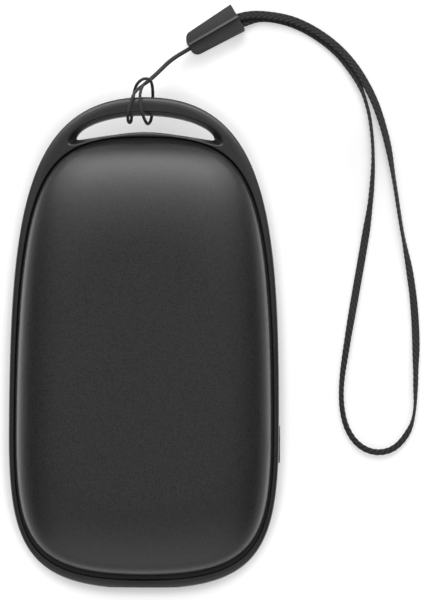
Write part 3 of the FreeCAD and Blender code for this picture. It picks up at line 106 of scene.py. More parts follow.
@dataclass(frozen=True)
class Relief:
    """A fine relief in a finish: how deep it is and how much of it is felt."""

    depth: float
    strength: float


@dataclass(frozen=True)
class Tone:
    """A colour's darkest and lightest share, and the noise levels at which it has them."""

    low: float
    high: float
    dark: float
    light: float


def opaque(colour: Feed) -> Feed:
    """A plain colour with full cover, or anything else that is fed as it is."""
    return (*colour, 1.0) if isinstance(colour, tuple) and len(colour) == 3 else colour


class Graph:
    """The node tree of a material or world, with short calls that add and join its nodes."""

    # The numbers of a mix node's colour sockets
    SHARE, FIRST, SECOND, MIXED = 0, 6, 7, 2

    def __init__(self, owner: Union[Material, bpy.types.World]) -> None:
        """Empties the owner's tree.

        Args:
            owner: the new material or world.
        """
        owner.use_nodes = True
        self.owner = owner
        self.tree = owner.node_tree
        self.tree.nodes.clear()

    def add(self, kind: str, feeds: Optional[dict[Union[str, int], Feed]] = None,
            **settings: object) -> bpy.types.Node:
        """Adds one node.

        Args:
            kind: the node's type name without its common first word.
            feeds: values or sockets for its inputs, by name or number.
            settings: the node's own properties.

        Returns:
            The new node.
        """
        node = self.tree.nodes.new("ShaderNode" + kind)
        for key, value in settings.items():
            setattr(node, key, value)
        for key, value in (feeds or {}).items():
            if isinstance(value, Socket):
                self.tree.links.new(value, node.inputs[key])
            else:
                node.inputs[key].default_value = value
        return node

    def coordinates(self, pattern: Pattern = Pattern.SOLID,
                    stretch: Place = UNSTRETCHED) -> Socket:
        """The coordinates that a pattern follows.

        Args:
            pattern: what it follows.
            stretch: a scale for each direction.

        Returns:
            A vector socket.
        """
        source = self.add("TexCoord").outputs[pattern.value]
        if stretch == UNSTRETCHED:
            return source
        return self.add("Mapping", {"Vector": source, "Scale": stretch}).outputs["Vector"]

    def part(self, vector: Socket, axis: str) -> Socket:
        """One of a vector's three parts."""
        return self.add("SeparateXYZ", {"Vector": vector}).outputs[axis]

    def noise(self, grain: Grain) -> Socket:
        """Soft noise from 0 to 1."""
        where = self.coordinates(grain.pattern, grain.stretch)
        return self.add("TexNoise", {"Vector": where, "Scale": 1 / grain.size,
                                     "Detail": grain.layers}).outputs[0]

    def math(self, operation: Operation, first: Feed, second: Feed = 0.0) -> Socket:
        """A sum, product or other operation on two values."""
        return self.add("Math", {0: first, 1: second}, operation=operation.value).outputs[0]

    def vector(self, operation: Operation, first: Socket, second: Place = ORIGIN) -> Socket:
        """An operation on two vectors, or the length of the first."""
        node = self.add("VectorMath", {0: first, 1: second}, operation=operation.value)
        return node.outputs["Value" if operation is Operation.LENGTH else "Vector"]

    def span(self, value: Socket, target: Span = UNIT_SPAN, source: Span = UNIT_SPAN) -> Socket:
        """Maps a source range of values onto a target range, which they don't leave."""
        feeds = dict(enumerate((value, *source, *target)))
        return self.add("MapRange", feeds).outputs[0]

    def ramp(self, value: Socket, stops: Sequence[tuple[float, Colour]]) -> Socket:
        """A run of colours.

        Args:
            value: from 0 to 1.
            stops: places and their colours, in order.

        Returns:
            A colour socket.
        """
        node = self.add("ValToRGB", {"Fac": value})
        elements = node.color_ramp.elements
        while len(elements) < len(stops):
            elements.new(1.0)
        for element, (place, colour) in zip(elements, stops):
            element.position = place
            element.color = opaque(colour)
        return node.outputs["Color"]

    def greys(self, value: Socket, stops: Stops, strength: float = 1.0) -> Socket:
        """A run of grey levels, all times a strength."""
        return self.ramp(value, [(place, (level * strength,) * 3) for place, level in stops])

    def blend(self, share: Feed, first: Feed, second: Feed,
              mixing: Mixing = Mixing.BLEND) -> Socket:
        """Puts two colours together, with a share of the second."""
        feeds = {self.SHARE: share, self.FIRST: opaque(first), self.SECOND: opaque(second)}
        return self.add("Mix", feeds, data_type="RGBA", blend_type=mixing.value).outputs[self.MIXED]

    def rough(self, level: float, swing: Span, coarse: Socket, fine: Socket) -> Socket:
        """A roughness that a coarse and a fine noise each swing to both sides of a level."""
        middle = self.span(coarse, (level - swing[0], level + swing[0]))
        return self.math(Operation.ADD, middle, self.span(fine, (-swing[1], swing[1])))

    def bump(self, height: Socket, relief: Relief, under: Optional[Socket] = None) -> Socket:
        """A relief on the surface.

        Args:
            height: from 0 to 1.
            relief: its depth and strength.
            under: the surface's direction that it lies on, if it isn't the mesh's own.

        Returns:
            A normal socket.
        """
        feeds = {"Height": height, "Distance": relief.depth, "Strength": relief.strength}
        if under is not None:
            feeds["Normal"] = under
        return self.add("Bump", feeds).outputs["Normal"]

    def surface(self, **feeds: Feed) -> None:
        """Ends the tree in a shader.

        Args:
            feeds: the shader's inputs, with underscores for the spaces in their names.
        """
        named = {key.replace("_", " "): opaque(value) for key, value in feeds.items()}
        shader = self.add("BsdfPrincipled", named)
        self.add("OutputMaterial", {"Surface": shader.outputs["BSDF"]})


@dataclass(frozen=True)
class Finish(ABC):
    """What a surface looks like."""

    name: str
    colour: Colour

    def material(self) -> Material:
        """The finish as a material, made once.

        Returns:
            The material.
        """
        own = f"{self.name}_finish"
        made = bpy.data.materials.get(own)
        if made is None:
            made = bpy.data.materials.new(own)
            self.make(Graph(made))
        return made

    @abstractmethod
    def make(self, graph: Graph) -> None:
        """Fills in the finish's node tree.

        Args:
            graph: the empty tree.
        """

    def shade(self, share: float) -> Colour:
        """The finish's colour, lighter or darker by a share."""
        return tuple(min(1.0, part * share) for part in self.colour)

    def toned(self, graph: Graph, noise: Socket, tone: Tone) -> Socket:
        """The finish's colour, which follows a noise."""
        return graph.ramp(noise, ((tone.low, self.shade(tone.dark)),
                                  (tone.high, self.shade(tone.light))))


@dataclass(frozen=True)
class SatinCoat(Finish):
    """A sprayed satin coat with fine sparkling grain."""

    roughness: float = 0.33
    swing: Span = (0.03, 0.05)
    haze: Grain = Grain(18 * MM, 2.0)
    grain: Grain = Grain(0.3 * MM, 4.0)
    tone: Tone = Tone(0.36, 0.66, 0.35, 1.7)
    flake_size: float = 0.24 * MM
    flakes: Span = (0.35, 1.0)
    flake_share: float = 2.0
    relief: Relief = Relief(0.018 * MM, 0.6)

    def make(self, graph: Graph) -> None:
        """Fills in the finish's node tree.

        Args:
            graph: the empty tree.
        """
        haze, grain = graph.noise(self.haze), graph.noise(self.grain)
        flake = graph.add("TexVoronoi", {"Vector": graph.coordinates(),
                                         "Scale": 1 / self.flake_size}).outputs["Color"]
        colour = graph.blend(graph.span(flake, source=self.flakes),
                             self.toned(graph, grain, self.tone), self.shade(self.flake_share))
        graph.surface(Base_Color=colour, Normal=graph.bump(grain, self.relief),
                      Roughness=graph.rough(self.roughness, self.swing, haze, grain))


@dataclass(frozen=True)
class MouldedPlastic(Finish):
    """Moulded plastic with the fine texture of its mould and a little handling gloss."""

    roughness: float = 0.42
    swing: Span = (0.05, 0.06)
    flow: Grain = Grain(12 * MM, 3.0)
    grain: Grain = Grain(0.35 * MM, 5.0)
    tone: Tone = Tone(0.3, 0.7, 0.88, 1.12)
    relief: Relief = Relief(0.01 * MM, 0.6)
    edge_radius: float = 0.0
    edge_samples: int = 8

    def make(self, graph: Graph) -> None:
        """Fills in the finish's node tree.

        Args:
            graph: the empty tree.
        """
        flow, grain = graph.noise(self.flow), graph.noise(self.grain)
        rounded = None
        if self.edge_radius:
            corner = graph.add("Bevel", {"Radius": self.edge_radius}, samples=self.edge_samples)
            rounded = corner.outputs["Normal"]
        graph.surface(Base_Color=self.toned(graph, flow, self.tone),
                      Roughness=graph.rough(self.roughness, self.swing, flow, grain),
                      Normal=graph.bump(grain, self.relief, rounded))


@dataclass(frozen=True)
class BrushedMetal(Finish):
    """Plated or plain metal with fine drawn lines."""

    roughness: float = 0.3
    swing: Span = (0.1, 0.05)
    drawn: Grain = Grain(0.12 * MM, 4.0, (1.0, 0.04, 1.0))
    stain: Grain = Grain(4 * MM, 3.0)
    tone: Tone = Tone(0.25, 0.7, 0.82, 1.05)
    relief: Relief = Relief(0.006 * MM, 0.5)

    def make(self, graph: Graph) -> None:
        """Fills in the finish's node tree.

        Args:
            graph: the empty tree.
        """
        drawn, stain = graph.noise(self.drawn), graph.noise(self.stain)
        graph.surface(Base_Color=self.toned(graph, stain, self.tone), Metallic=1.0,
                      Roughness=graph.rough(self.roughness, self.swing, drawn, stain),
                      Normal=graph.bump(drawn, self.relief))


@dataclass(frozen=True)
class WovenYarn(Finish):
    """Spun yarn on a woven or plaited surface, with loose fibres, and painted shade and highlight
    that follow the yarns' height.
    """

    fibre: Grain = Grain(0.8, 4.0, (26.0, 4.0, 1.0), Pattern.SURFACE)
    thread: Stops = ((0.3, 0.62), (0.72, 1.25))
    fluff: Grain = Grain(3 * MM, 3.0)
    roughness: Span = (0.62, 0.82)
    # The colour by the yarn's height: painted shade in the hollows between yarns and painted
    # highlight on their crests.
    tone: Tone = Tone(0.12, 0.8, 0.25, 1.75)
    relief: Relief = Relief(0.03 * MM, 0.7)

    def make(self, graph: Graph) -> None:
        """Fills in the finish's node tree.

        Args:
            graph: the empty tree.
        """
        fibre = graph.noise(self.fibre)
        # Painted shade and highlight: the yarn's height darkens the hollows and lightens the
        # crests.
        height = graph.add("VertexColor", layer_name=YARN_HEIGHT).outputs["Color"]
        colour = graph.blend(1.0, self.toned(graph, height, self.tone),
                             graph.greys(fibre, self.thread), Mixing.MULTIPLY)
        graph.surface(Base_Color=colour, Normal=graph.bump(fibre, self.relief),
                      Roughness=graph.span(graph.noise(self.fluff), self.roughness),
                      Sheen_Weight=0.08, Sheen_Roughness=0.5, Specular_IOR_Level=0.3)


@dataclass(frozen=True)
class BoardMask(Finish):
    """Solder mask with the board's tracks standing under it."""

    tracks_per_metre: float = 420.0
    track_width: float = 0.035
    track_share: float = 2.2
    field_share: float = 0.9
    fine: Grain = Grain(0.4 * MM, 4.0)
    roughness: Span = (0.28, 0.42)
    relief: Relief = Relief(0.03 * MM, 0.5)

    def make(self, graph: Graph) -> None:
        """Fills in the finish's node tree.

        Args:
            graph: the empty tree.
        """
        tracks = graph.add("TexBrick", {
            "Vector": graph.coordinates(), "Scale": self.tracks_per_metre,
            "Mortar Size": self.track_width, "Color1": opaque(self.colour),
            "Color2": opaque(self.shade(self.field_share)),
            "Mortar": opaque(self.shade(self.track_share))}).outputs
        graph.surface(Base_Color=tracks["Color"], Coat_Weight=0.3,
                      Roughness=graph.span(graph.noise(self.fine), self.roughness),
                      Normal=graph.bump(tracks["Fac"], self.relief))


@dataclass(frozen=True)
class HeaterFoil(Finish):
    """Amber film with a winding metal track inside it."""

    track: Colour = (0.55, 0.28, 0.12)
    track_metal: float = 0.5
    track_edge: Span = (0.42, 0.5)
    turns_per_metre: float = 95.0
    waviness: float = 0.6
    ripple: Grain = Grain(6 * MM, 2.0)
    roughness: Span = (0.18, 0.36)
    relief: Relief = Relief(0.04 * MM, 0.6)

    def make(self, graph: Graph) -> None:
        """Fills in the finish's node tree.

        Args:
            graph: the empty tree.
        """
        winding = graph.add("TexWave", {
            "Vector": graph.coordinates(), "Scale": self.turns_per_metre,
            "Distortion": self.waviness, "Detail": 0.0}, wave_type="BANDS", bands_direction="Y")
        track = graph.span(winding.outputs["Fac"], source=self.track_edge)
        graph.surface(Base_Color=graph.blend(track, self.colour, self.track),
                      Roughness=graph.span(graph.noise(self.ripple), self.roughness),
                      Metallic=graph.math(Operation.MULTIPLY, track, self.track_metal),
                      Normal=graph.bump(track, self.relief))


@dataclass(frozen=True)
class FibrePad(Finish):
    """Needled fibre felt."""

    fibre: Grain = Grain(0.5 * MM, 6.0, (1.0, 0.3, 1.0))
    tuft: Grain = Grain(3 * MM, 3.0)
    tone: Tone = Tone(0.15, 0.4, 0.75, 1.1)
    roughness: Span = (0.8, 0.95)
    relief: Relief = Relief(0.2 * MM, 0.8)

    def make(self, graph: Graph) -> None:
        """Fills in the finish's node tree.

        Args:
            graph: the empty tree.
        """
        fibre, tuft = graph.noise(self.fibre), graph.noise(self.tuft)
        felt = graph.math(Operation.MULTIPLY, fibre, tuft)
        graph.surface(Base_Color=self.toned(graph, felt, self.tone), Sheen_Weight=0.3,
                      Roughness=graph.span(tuft, self.roughness),
                      Normal=graph.bump(fibre, self.relief))


@dataclass(frozen=True)
class CellSleeve(Finish):
    """Shrunk sleeve round a cell whose metal ends stay bare."""

    metal: Colour = (0.62, 0.6, 0.56)
    end_facing: float = 0.9
    crease: Grain = Grain(4 * MM, 3.0, (1.0, 0.15, 1.0))
    tone: Tone = Tone(0.3, 0.7, 0.85, 1.12)
    scuff: Grain = Grain(0.6 * MM, 4.0)
    roughness: Span = (0.25, 0.42)
    relief: Relief = Relief(0.08 * MM, 0.5)

    def make(self, graph: Graph) -> None:
        """Fills in the finish's node tree.

        Args:
            graph: the empty tree.
        """
        along = graph.part(graph.add("NewGeometry").outputs["Normal"], "Y")
        bare = graph.math(Operation.GREATER_THAN, graph.math(Operation.ABSOLUTE, along),
                          self.end_facing)
        crease = graph.noise(self.crease)
        colour = graph.blend(bare, self.toned(graph, crease, self.tone), self.metal)
        graph.surface(Base_Color=colour, Metallic=bare,
                      Roughness=graph.span(graph.noise(self.scuff), self.roughness),
                      Normal=graph.bump(crease, self.relief))


@dataclass(frozen=True)
class Diffuser(Finish):
    """Milky plastic that lets light through."""

    through: float = 0.35
    cloud: Grain = Grain(1.5 * MM, 4.0)
    tone: Tone = Tone(0.3, 0.7, 0.92, 1.05)
    fine: Grain = Grain(0.2 * MM, 3.0)
    roughness: Span = (0.3, 0.45)
    relief: Relief = Relief(0.005 * MM, 0.4)

    def make(self, graph: Graph) -> None:
        """Fills in the finish's node tree.

        Args:
            graph: the empty tree.
        """
        fine = graph.noise(self.fine)
        graph.surface(Base_Color=self.toned(graph, graph.noise(self.cloud), self.tone),
                      Roughness=graph.span(fine, self.roughness),
                      Transmission_Weight=self.through, Normal=graph.bump(fine, self.relief))


class Finishes:
    """Every finish on the warmer, named for where it is."""

    FINE_GRAIN = Grain(0.3 * MM, 5.0)
    SMALL_GRAIN = Grain(0.2 * MM, 5.0)
    TINY_GRAIN = Grain(0.1 * MM, 5.0)

    SHELL = SatinCoat("shell_coat", (0.0088, 0.0088, 0.0088))
    BAND = MouldedPlastic("frame_plastic", (0.014, 0.014, 0.0145), roughness=0.3,
                          edge_radius=0.45 * MM)
    BUTTON = MouldedPlastic("button_plastic", (0.016, 0.016, 0.0165), roughness=0.34,
                            grain=SMALL_GRAIN, edge_radius=0.2 * MM)
    LENS = Diffuser("lens_plastic", (0.5, 0.51, 0.52))
    LAMP = Diffuser("lamp_plastic", (0.85, 0.84, 0.72), through=0.2)
    BOARD = BoardMask("board_mask", (0.012, 0.09, 0.04))
    CHIP = MouldedPlastic("chip_plastic", (0.02, 0.02, 0.021), roughness=0.5, grain=TINY_GRAIN)
    COIL = MouldedPlastic("coil_ferrite", (0.06, 0.058, 0.056), roughness=0.6,
                          grain=SMALL_GRAIN, relief=Relief(0.03 * MM, 0.6))
    CAPACITOR = MouldedPlastic("capacitor_ceramic", (0.42, 0.3, 0.19), roughness=0.4,
                               grain=TINY_GRAIN)
    PORT = BrushedMetal("port_steel", (0.6, 0.59, 0.57), roughness=0.28)
    PORT_TONGUE = MouldedPlastic("port_plastic", (0.018, 0.018, 0.018), roughness=0.45,
                                 grain=TINY_GRAIN)
    SLEEVE = CellSleeve("cell_sleeve", (0.03, 0.11, 0.32))
    STRIP = BrushedMetal("nickel_strip", (0.66, 0.63, 0.57), roughness=0.32,
                         drawn=Grain(0.12 * MM, 4.0, (0.05, 1.0, 1.0)))
    CRADLE = MouldedPlastic("cradle_plastic", (0.55, 0.54, 0.5), roughness=0.5,
                            tone=Tone(0.3, 0.7, 0.94, 1.06))
    SCREW = BrushedMetal("screw_steel", (0.5, 0.5, 0.49), roughness=0.35,
                         drawn=Grain(0.12 * MM, 4.0))
    HEATER = HeaterFoil("heater_film", (0.45, 0.17, 0.02))
    PAD = FibrePad("insulation", (0.68, 0.67, 0.63))
    LEAD_RED = MouldedPlastic("lead_red", (0.5, 0.02, 0.015), roughness=0.38, grain=SMALL_GRAIN)
    LEAD_BLACK = MouldedPlastic("lead_black", (0.015, 0.015, 0.016), roughness=0.38,
                                grain=SMALL_GRAIN)
    LEAD_WHITE = MouldedPlastic("lead_white", (0.75, 0.74, 0.7), roughness=0.38,
                                grain=SMALL_GRAIN)
    BEAD = MouldedPlastic("bead_resin", (0.03, 0.028, 0.026), roughness=0.25, grain=FINE_GRAIN)
    CORD = WovenYarn("cord_fabric", (0.031, 0.031, 0.032))
    CRIMP = MouldedPlastic("crimp_plastic", (0.024, 0.024, 0.025), grain=FINE_GRAIN)
    STRAP = WovenYarn("strap_fabric", (0.02, 0.02, 0.0205))


def add_object(name: str, data: bpy.types.ID) -> Object:
    """Puts a new object into the scene.

    Args:
        name: its name.
        data: its mesh, lamp or camera.

    Returns:
        The object.
    """
    holder = bpy.data.objects.new(name, data)
    bpy.context.scene.collection.objects.link(holder)
    return holder


def as_mesh(shape: Shape, name: str) -> Mesh:
    """Turns a shape into a mesh and frees the shape.

    Args:
        shape: the finished shape.
        name: the mesh's name.

    Returns:
        The mesh.
    """
    mesh = bpy.data.meshes.new(name)
    shape.to_mesh(mesh)
    shape.free()
    return mesh


def round_edges(shape: Shape, edges: Sequence[bmesh.types.BMEdge], radius: float,
                segments: int, clamped: bool = False) -> None:
    """Rounds some edges of a shape.

    Args:
        shape: the shape.
        edges: its edges to round.
        radius: how far the rounding reaches.
        segments: how many facets it gets.
        clamped: whether it stops short of other roundings.
    """
    bmesh.ops.bevel(shape, geom=edges, offset=radius, segments=segments, profile=0.5,
                    affect="EDGES", material=-1, clamp_overlap=clamped)


def dress(node: str, finish: Finish) -> Object:
    """Gives a solid from the frame its finish.

    Args:
        node: the solid's name.
        finish: its finish.

    Returns:
        The solid's object.
    """
    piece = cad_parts[node]
    if not piece.material_slots:
        piece.data.materials.append(None)
    for place in piece.material_slots:
        place.material = finish.material()
    return piece


def publish(mesh: Mesh, finish: Finish, node: str) -> Object:
    """Puts a new piece into the scene, on the housing.

    Args:
        mesh: its finished mesh, in place.
        finish: its finish, whose name is also that of its slot in the record.
        node: the solid that it takes the place of.

    Returns:
        The piece.
    """
    piece = add_object(mesh.name, mesh)
    mesh.materials.append(finish.material())
    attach(piece, HOUSING)
    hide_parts(node)
    return piece


Dressing = dict[str, Finish]


def worn(**finishes: Finish) -> Dressing:
    """A field that holds the finish of each solid in a sub-assembly."""
    return field(default_factory=lambda: dict(finishes))


@dataclass
class Solids:
    """A sub-assembly whose solids keep their shape and take a finish each."""

    finishes: Dressing

    def build(self) -> list[Object]:
        """Dresses each solid in turn."""
        return [dress(node, finish) for node, finish in self.finishes.items()]


@dataclass
class HousingShells(Solids):
    """The two domed shells."""

    finishes: Dressing = worn(back_shell=Finishes.SHELL, front_shell=Finishes.SHELL)


@dataclass
class FrameBand(Solids):
    """The moulded band between the shells, with the carrying arch."""

    finishes: Dressing = worn(mid_frame=Finishes.BAND)


@dataclass
class SideControls(Solids):
    """The button with its switch, and the light bar with its lamps."""

    finishes: Dressing = worn(
        power_button=Finishes.BUTTON, switch_stem=Finishes.CRADLE, switch_body=Finishes.CHIP,
        indicator_lens=Finishes.LENS, indicator_lamps=Finishes.LAMP)


@dataclass
class ChargingPort(Solids):
    """The charging receptacle."""

    finishes: Dressing = worn(usb_c_shell=Finishes.PORT,
                                       usb_c_tongue=Finishes.PORT_TONGUE)


@dataclass
class ControlBoard(Solids):
    """The board with what is soldered and screwed to it."""

    finishes: Dressing = worn(
        control_board=Finishes.BOARD, controller_chip=Finishes.CHIP,
        converter_coil=Finishes.COIL, chip_capacitors=Finishes.CAPACITOR,
        board_screws=Finishes.SCREW)


@dataclass
class PowerPack(Solids):
    """The two cells in their cradle, with strips, leads and screws."""

    finishes: Dressing = worn(
        cell_left=Finishes.SLEEVE, cell_right=Finishes.SLEEVE, cell_strip_top=Finishes.STRIP,
        cell_strip_bottom=Finishes.STRIP, cell_cradle=Finishes.CRADLE,
        cradle_screws=Finishes.SCREW, battery_lead_positive=Finishes.LEAD_RED,
        battery_lead_negative=Finishes.LEAD_BLACK)


@dataclass
class Heating(Solids):
    """The film heaters with their pads, leads and sensor."""

    finishes: Dressing = worn(
        heater_film_back=Finishes.HEATER, heater_film_front=Finishes.HEATER,
        insulation_pad_back=Finishes.PAD, insulation_pad_front=Finishes.PAD,
        heater_leads_back=Finishes.LEAD_WHITE, heater_leads_front=Finishes.LEAD_WHITE,
        thermistor=Finishes.BEAD, thermistor_leads=Finishes.LEAD_WHITE)


@dataclass
class Line:
    """A cord's line: points with two directions across it, and the way along it so far."""

    points: list[Vector]
    sides: list[Vector] = field(default_factory=list)
    lifts: list[Vector] = field(default_factory=list)
    ways: list[float] = field(default_factory=list)

    @classmethod
    def from_route(cls, route: Sequence[Place], steps: int) -> "Line":
        """Reads the smooth line of a route.

        Args:
            route: control points in millimetres.
            steps: how many points each stretch gets.

        Returns:
            The line, with its directions carried along it.
        """
        curve = bpy.data.curves.new("route", "CURVE")
        curve.dimensions = "3D"
        spline = curve.splines.new("NURBS")
        spline.points.add(len(route) - 1)
        for knot, place in zip(spline.points, route):
            knot.co = (*(part * MM for part in place), 1.0)
        spline.order_u = 3
        spline.use_endpoint_u = True
        spline.resolution_u = steps
        carrier = bpy.data.objects.new("route", curve)
        mesh = bpy.data.meshes.new_from_object(carrier)
        line = cls([vertex.co.copy() for vertex in mesh.vertices])
        bpy.data.meshes.remove(mesh)
        bpy.data.objects.remove(carrier)
        bpy.data.curves.remove(curve)
        line.carry()
        return line

    def run(self, index: int) -> Vector:
        """The way the line runs past one of its points."""
        last = len(self.points) - 1
        return self.points[min(index + 1, last)] - self.points[max(index - 1, 0)]

    def carry(self) -> None:
        """Carries the directions across the line along it without needless turning."""
        side = Vector((0.0, 0.0, 1.0))
        way = 0.0
        for index, point in enumerate(self.points):
            way += (point - self.points[max(index - 1, 0)]).length
            tangent = self.run(index).normalized()
            side = (side - tangent * side.dot(tangent)).normalized()
            self.ways.append(way)
            self.sides.append(side.copy())
            self.lifts.append(tangent.cross(side))


@dataclass
class Cord(ABC):
    """A cord whose plaited or woven surface is modelled along its line."""

    name: str
    node: str
    route: Sequence[Place]
    finish: Finish
    width: float
    thickness: float
    around: int
    steps: int
    pitch: float
    relief: float
    weld_share: float = 0.001

    @abstractmethod
    def section(self, turn: float, way: float) -> tuple[float, float, float]:
        """The surface at one place.

        Args:
            turn: the angle round the cord.
            way: the distance along it, in metres.

        Returns:
            The reach along the two directions across the cord, and the yarn's height there.
        """

    def twist(self, share: float) -> float:
        """How far the section has turned at a share of the line."""
        return 0.0

    def settle(self, line: Line) -> None:
        """Leaves a round cord's line as it is routed."""

    def mesh(self, line: Line) -> Mesh:
        """Wraps a grid round the line.

        Args:
            line: the cord's line.

        Returns:
            The closed mesh, with a map in yarn pitches and the yarn's height as a colour.
        """
        shape = bmesh.new()
        rows = len(line.points) - 1
        half = 0.5
        bmesh.ops.create_grid(shape, x_segments=self.around, y_segments=rows, size=half,
                              calc_uvs=True)
        chart = shape.loops.layers.uv.verify()
        # The yarn's height, which the finish turns into painted shade and highlight.
        height = shape.verts.layers.float_color.new(YARN_HEIGHT)
        for vertex in shape.verts:
            turn = (vertex.co.x + half) * FULL_TURN
            row = min(rows, max(0, round((vertex.co.y + half) * rows)))
            way = line.ways[row]
            for loop in vertex.link_loops:
                loop[chart].uv = (loop[chart].uv.x, way / self.pitch)
            across, up, yarn = self.section(turn, way)
            angle = self.twist(row / rows)
            reach = across * math.cos(angle) - up * math.sin(angle)
            rise = across * math.sin(angle) + up * math.cos(angle)
            vertex.co = line.points[row] + line.sides[row] * reach + line.lifts[row] * rise
            vertex[height] = (yarn, yarn, yarn, 1.0)
        bmesh.ops.remove_doubles(shape, verts=shape.verts, dist=self.thickness * self.weld_share)
        rim = [edge for edge in shape.edges if edge.is_boundary]
        bmesh.ops.holes_fill(shape, edges=rim, sides=0)
        bmesh.ops.recalc_face_normals(shape, faces=shape.faces)
        for face in shape.faces:
            face.smooth = True
        return as_mesh(shape, self.name)

    def build(self, crimp: Object) -> Object:
        """Args:
            crimp: the piece that both its ends go into; it is not used.

        Returns:
            The cord.
        """
        line = Line.from_route(self.route, self.steps)
        self.settle(line)
        piece = publish(self.mesh(line), self.finish, self.node)
        return piece


# Control points in millimetres, from the strap end round the arch and back
CORD_ROUTE: Sequence[Place] = (
    (11.8, 67.8, 2.2), (9.5, 66.4, 2.3), (6.9, 64.7, 3.9), (4.75, 62.75, 6.3), (2.7, 60.1, 9.6),
    (0.7, 57.6, 13.4), (-0.75, 55.9, 16.3), (-1.25, 53.75, 17.1), (-1.15, 51.5, 16.95),
    (-0.6, 49.5, 16.4), (0, 48.2, 14.2), (0.5, 48.05, 11.2), (1.1, 49.2, 8.6),
    (1.35, 51.2, 7.9), (1.45, 53.55, 8.1), (1.5, 55.3, 10.2), (1.4, 56.6, 13.2),
    (1, 57.35, 15.9), (-0.4, 57.5, 16.7), (-1.9, 56.7, 14.6), (-2.6, 55.4, 11.2),
    (-2.9, 53.6, 8.2), (-3.1, 51.2, 7.9), (-3.2, 49.5, 8.6), (-3.4, 48.4, 10.9),
    (-3.85, 48.3, 13.6), (-3.85, 49.55, 16.3), (-3.4, 51.5, 16.95), (-2.75, 53.75, 16.85),
    (-1.45, 55.7, 14.8), (0.7, 57.6, 11.2), (2.75, 60.05, 7.8), (4.8, 62.65, 4.7),
    (6.9, 64.6, 2.4), (9.5, 66.3, 1.3), (11.8, 67.8, 1.2))

# Control points in millimetres, from the strap end round the loop and back
STRAP_ROUTE: Sequence[Place] = (
    (18.15, 72.5, 1.9), (20.2, 73.65, 1.8), (25.16, 74.4, 1.35), (33.94, 72.93, 1.15),
    (43.47, 66.59, 1.15), (49.74, 57.54, 1.15), (53.37, 47.1, 0.8), (55.15, 36.24, 0.4),
    (56.74, 25.37, 0.4), (58.91, 14.58, 0.4), (59.85, 3.61, 0.4), (59.73, -7.01, 0.4),
    (59.61, -14.83, 0.4), (57.6, -19.85, 0.4), (54.35, -22.95, 0.4), (50.1, -23.4, 0.4),
    (46.3, -21.2, 0.4), (43.8, -16.65, 0.4), (43.05, -9.64, 0.4), (44.46, 0.42, 0.4),
    (46.33, 11.29, 0.4), (48.22, 22.09, 0.4), (49.95, 32.99, 0.4), (50.53, 43.93, 0.4),
    (49.11, 54.98, 0.4), (44.09, 64.76, 0.4), (34.89, 71.67, 0.4), (26.05, 73.95, 0.45),
    (21.25, 72.25, 0.85), (19.2, 71.25, 1.1))

# How far the tape leans over at each of those points, in degrees
STRAP_TURNS: Sequence[float] = (
    0, 0, 0, 0, 5, 12, 38, 74, 77, 32, 10, 62, 90, 52, 52, 53, 54, 62, 66, 45, 18, -10, -62, -82,
    -80, -12, 0, 0, -15, -15)


@dataclass
class ThinCord(Cord):
    """The round plaited cord that is hitched round the arch."""

    name: str = "hitched_cord"
    node: str = "strap_cord"
    route: Sequence[Place] = CORD_ROUTE
    finish: Finish = Finishes.CORD
    width: float = 0.7 * MM
    thickness: float = 0.7 * MM
    around: int = 16
    steps: int = 28
    pitch: float = 0.9 * MM
    relief: float = 0.06 * MM
    strands: int = 3

    def section(self, turn: float, way: float) -> tuple[float, float, float]:
        """The surface at one place, as two crossing sets of strands.

        Args:
            turn: the angle round the cord.
            way: the distance along it, in metres.

        Returns:
            The reach along the two directions across the cord, and the yarn's height there.
        """
        run = FULL_TURN * way / self.pitch
        lap = max(math.cos(self.strands * turn + run), math.cos(self.strands * turn - run))
        yarn = (1 + lap) / 2
        reach = self.width / 2 - self.relief * (1 - yarn)
        return reach * math.cos(turn), reach * math.sin(turn), yarn


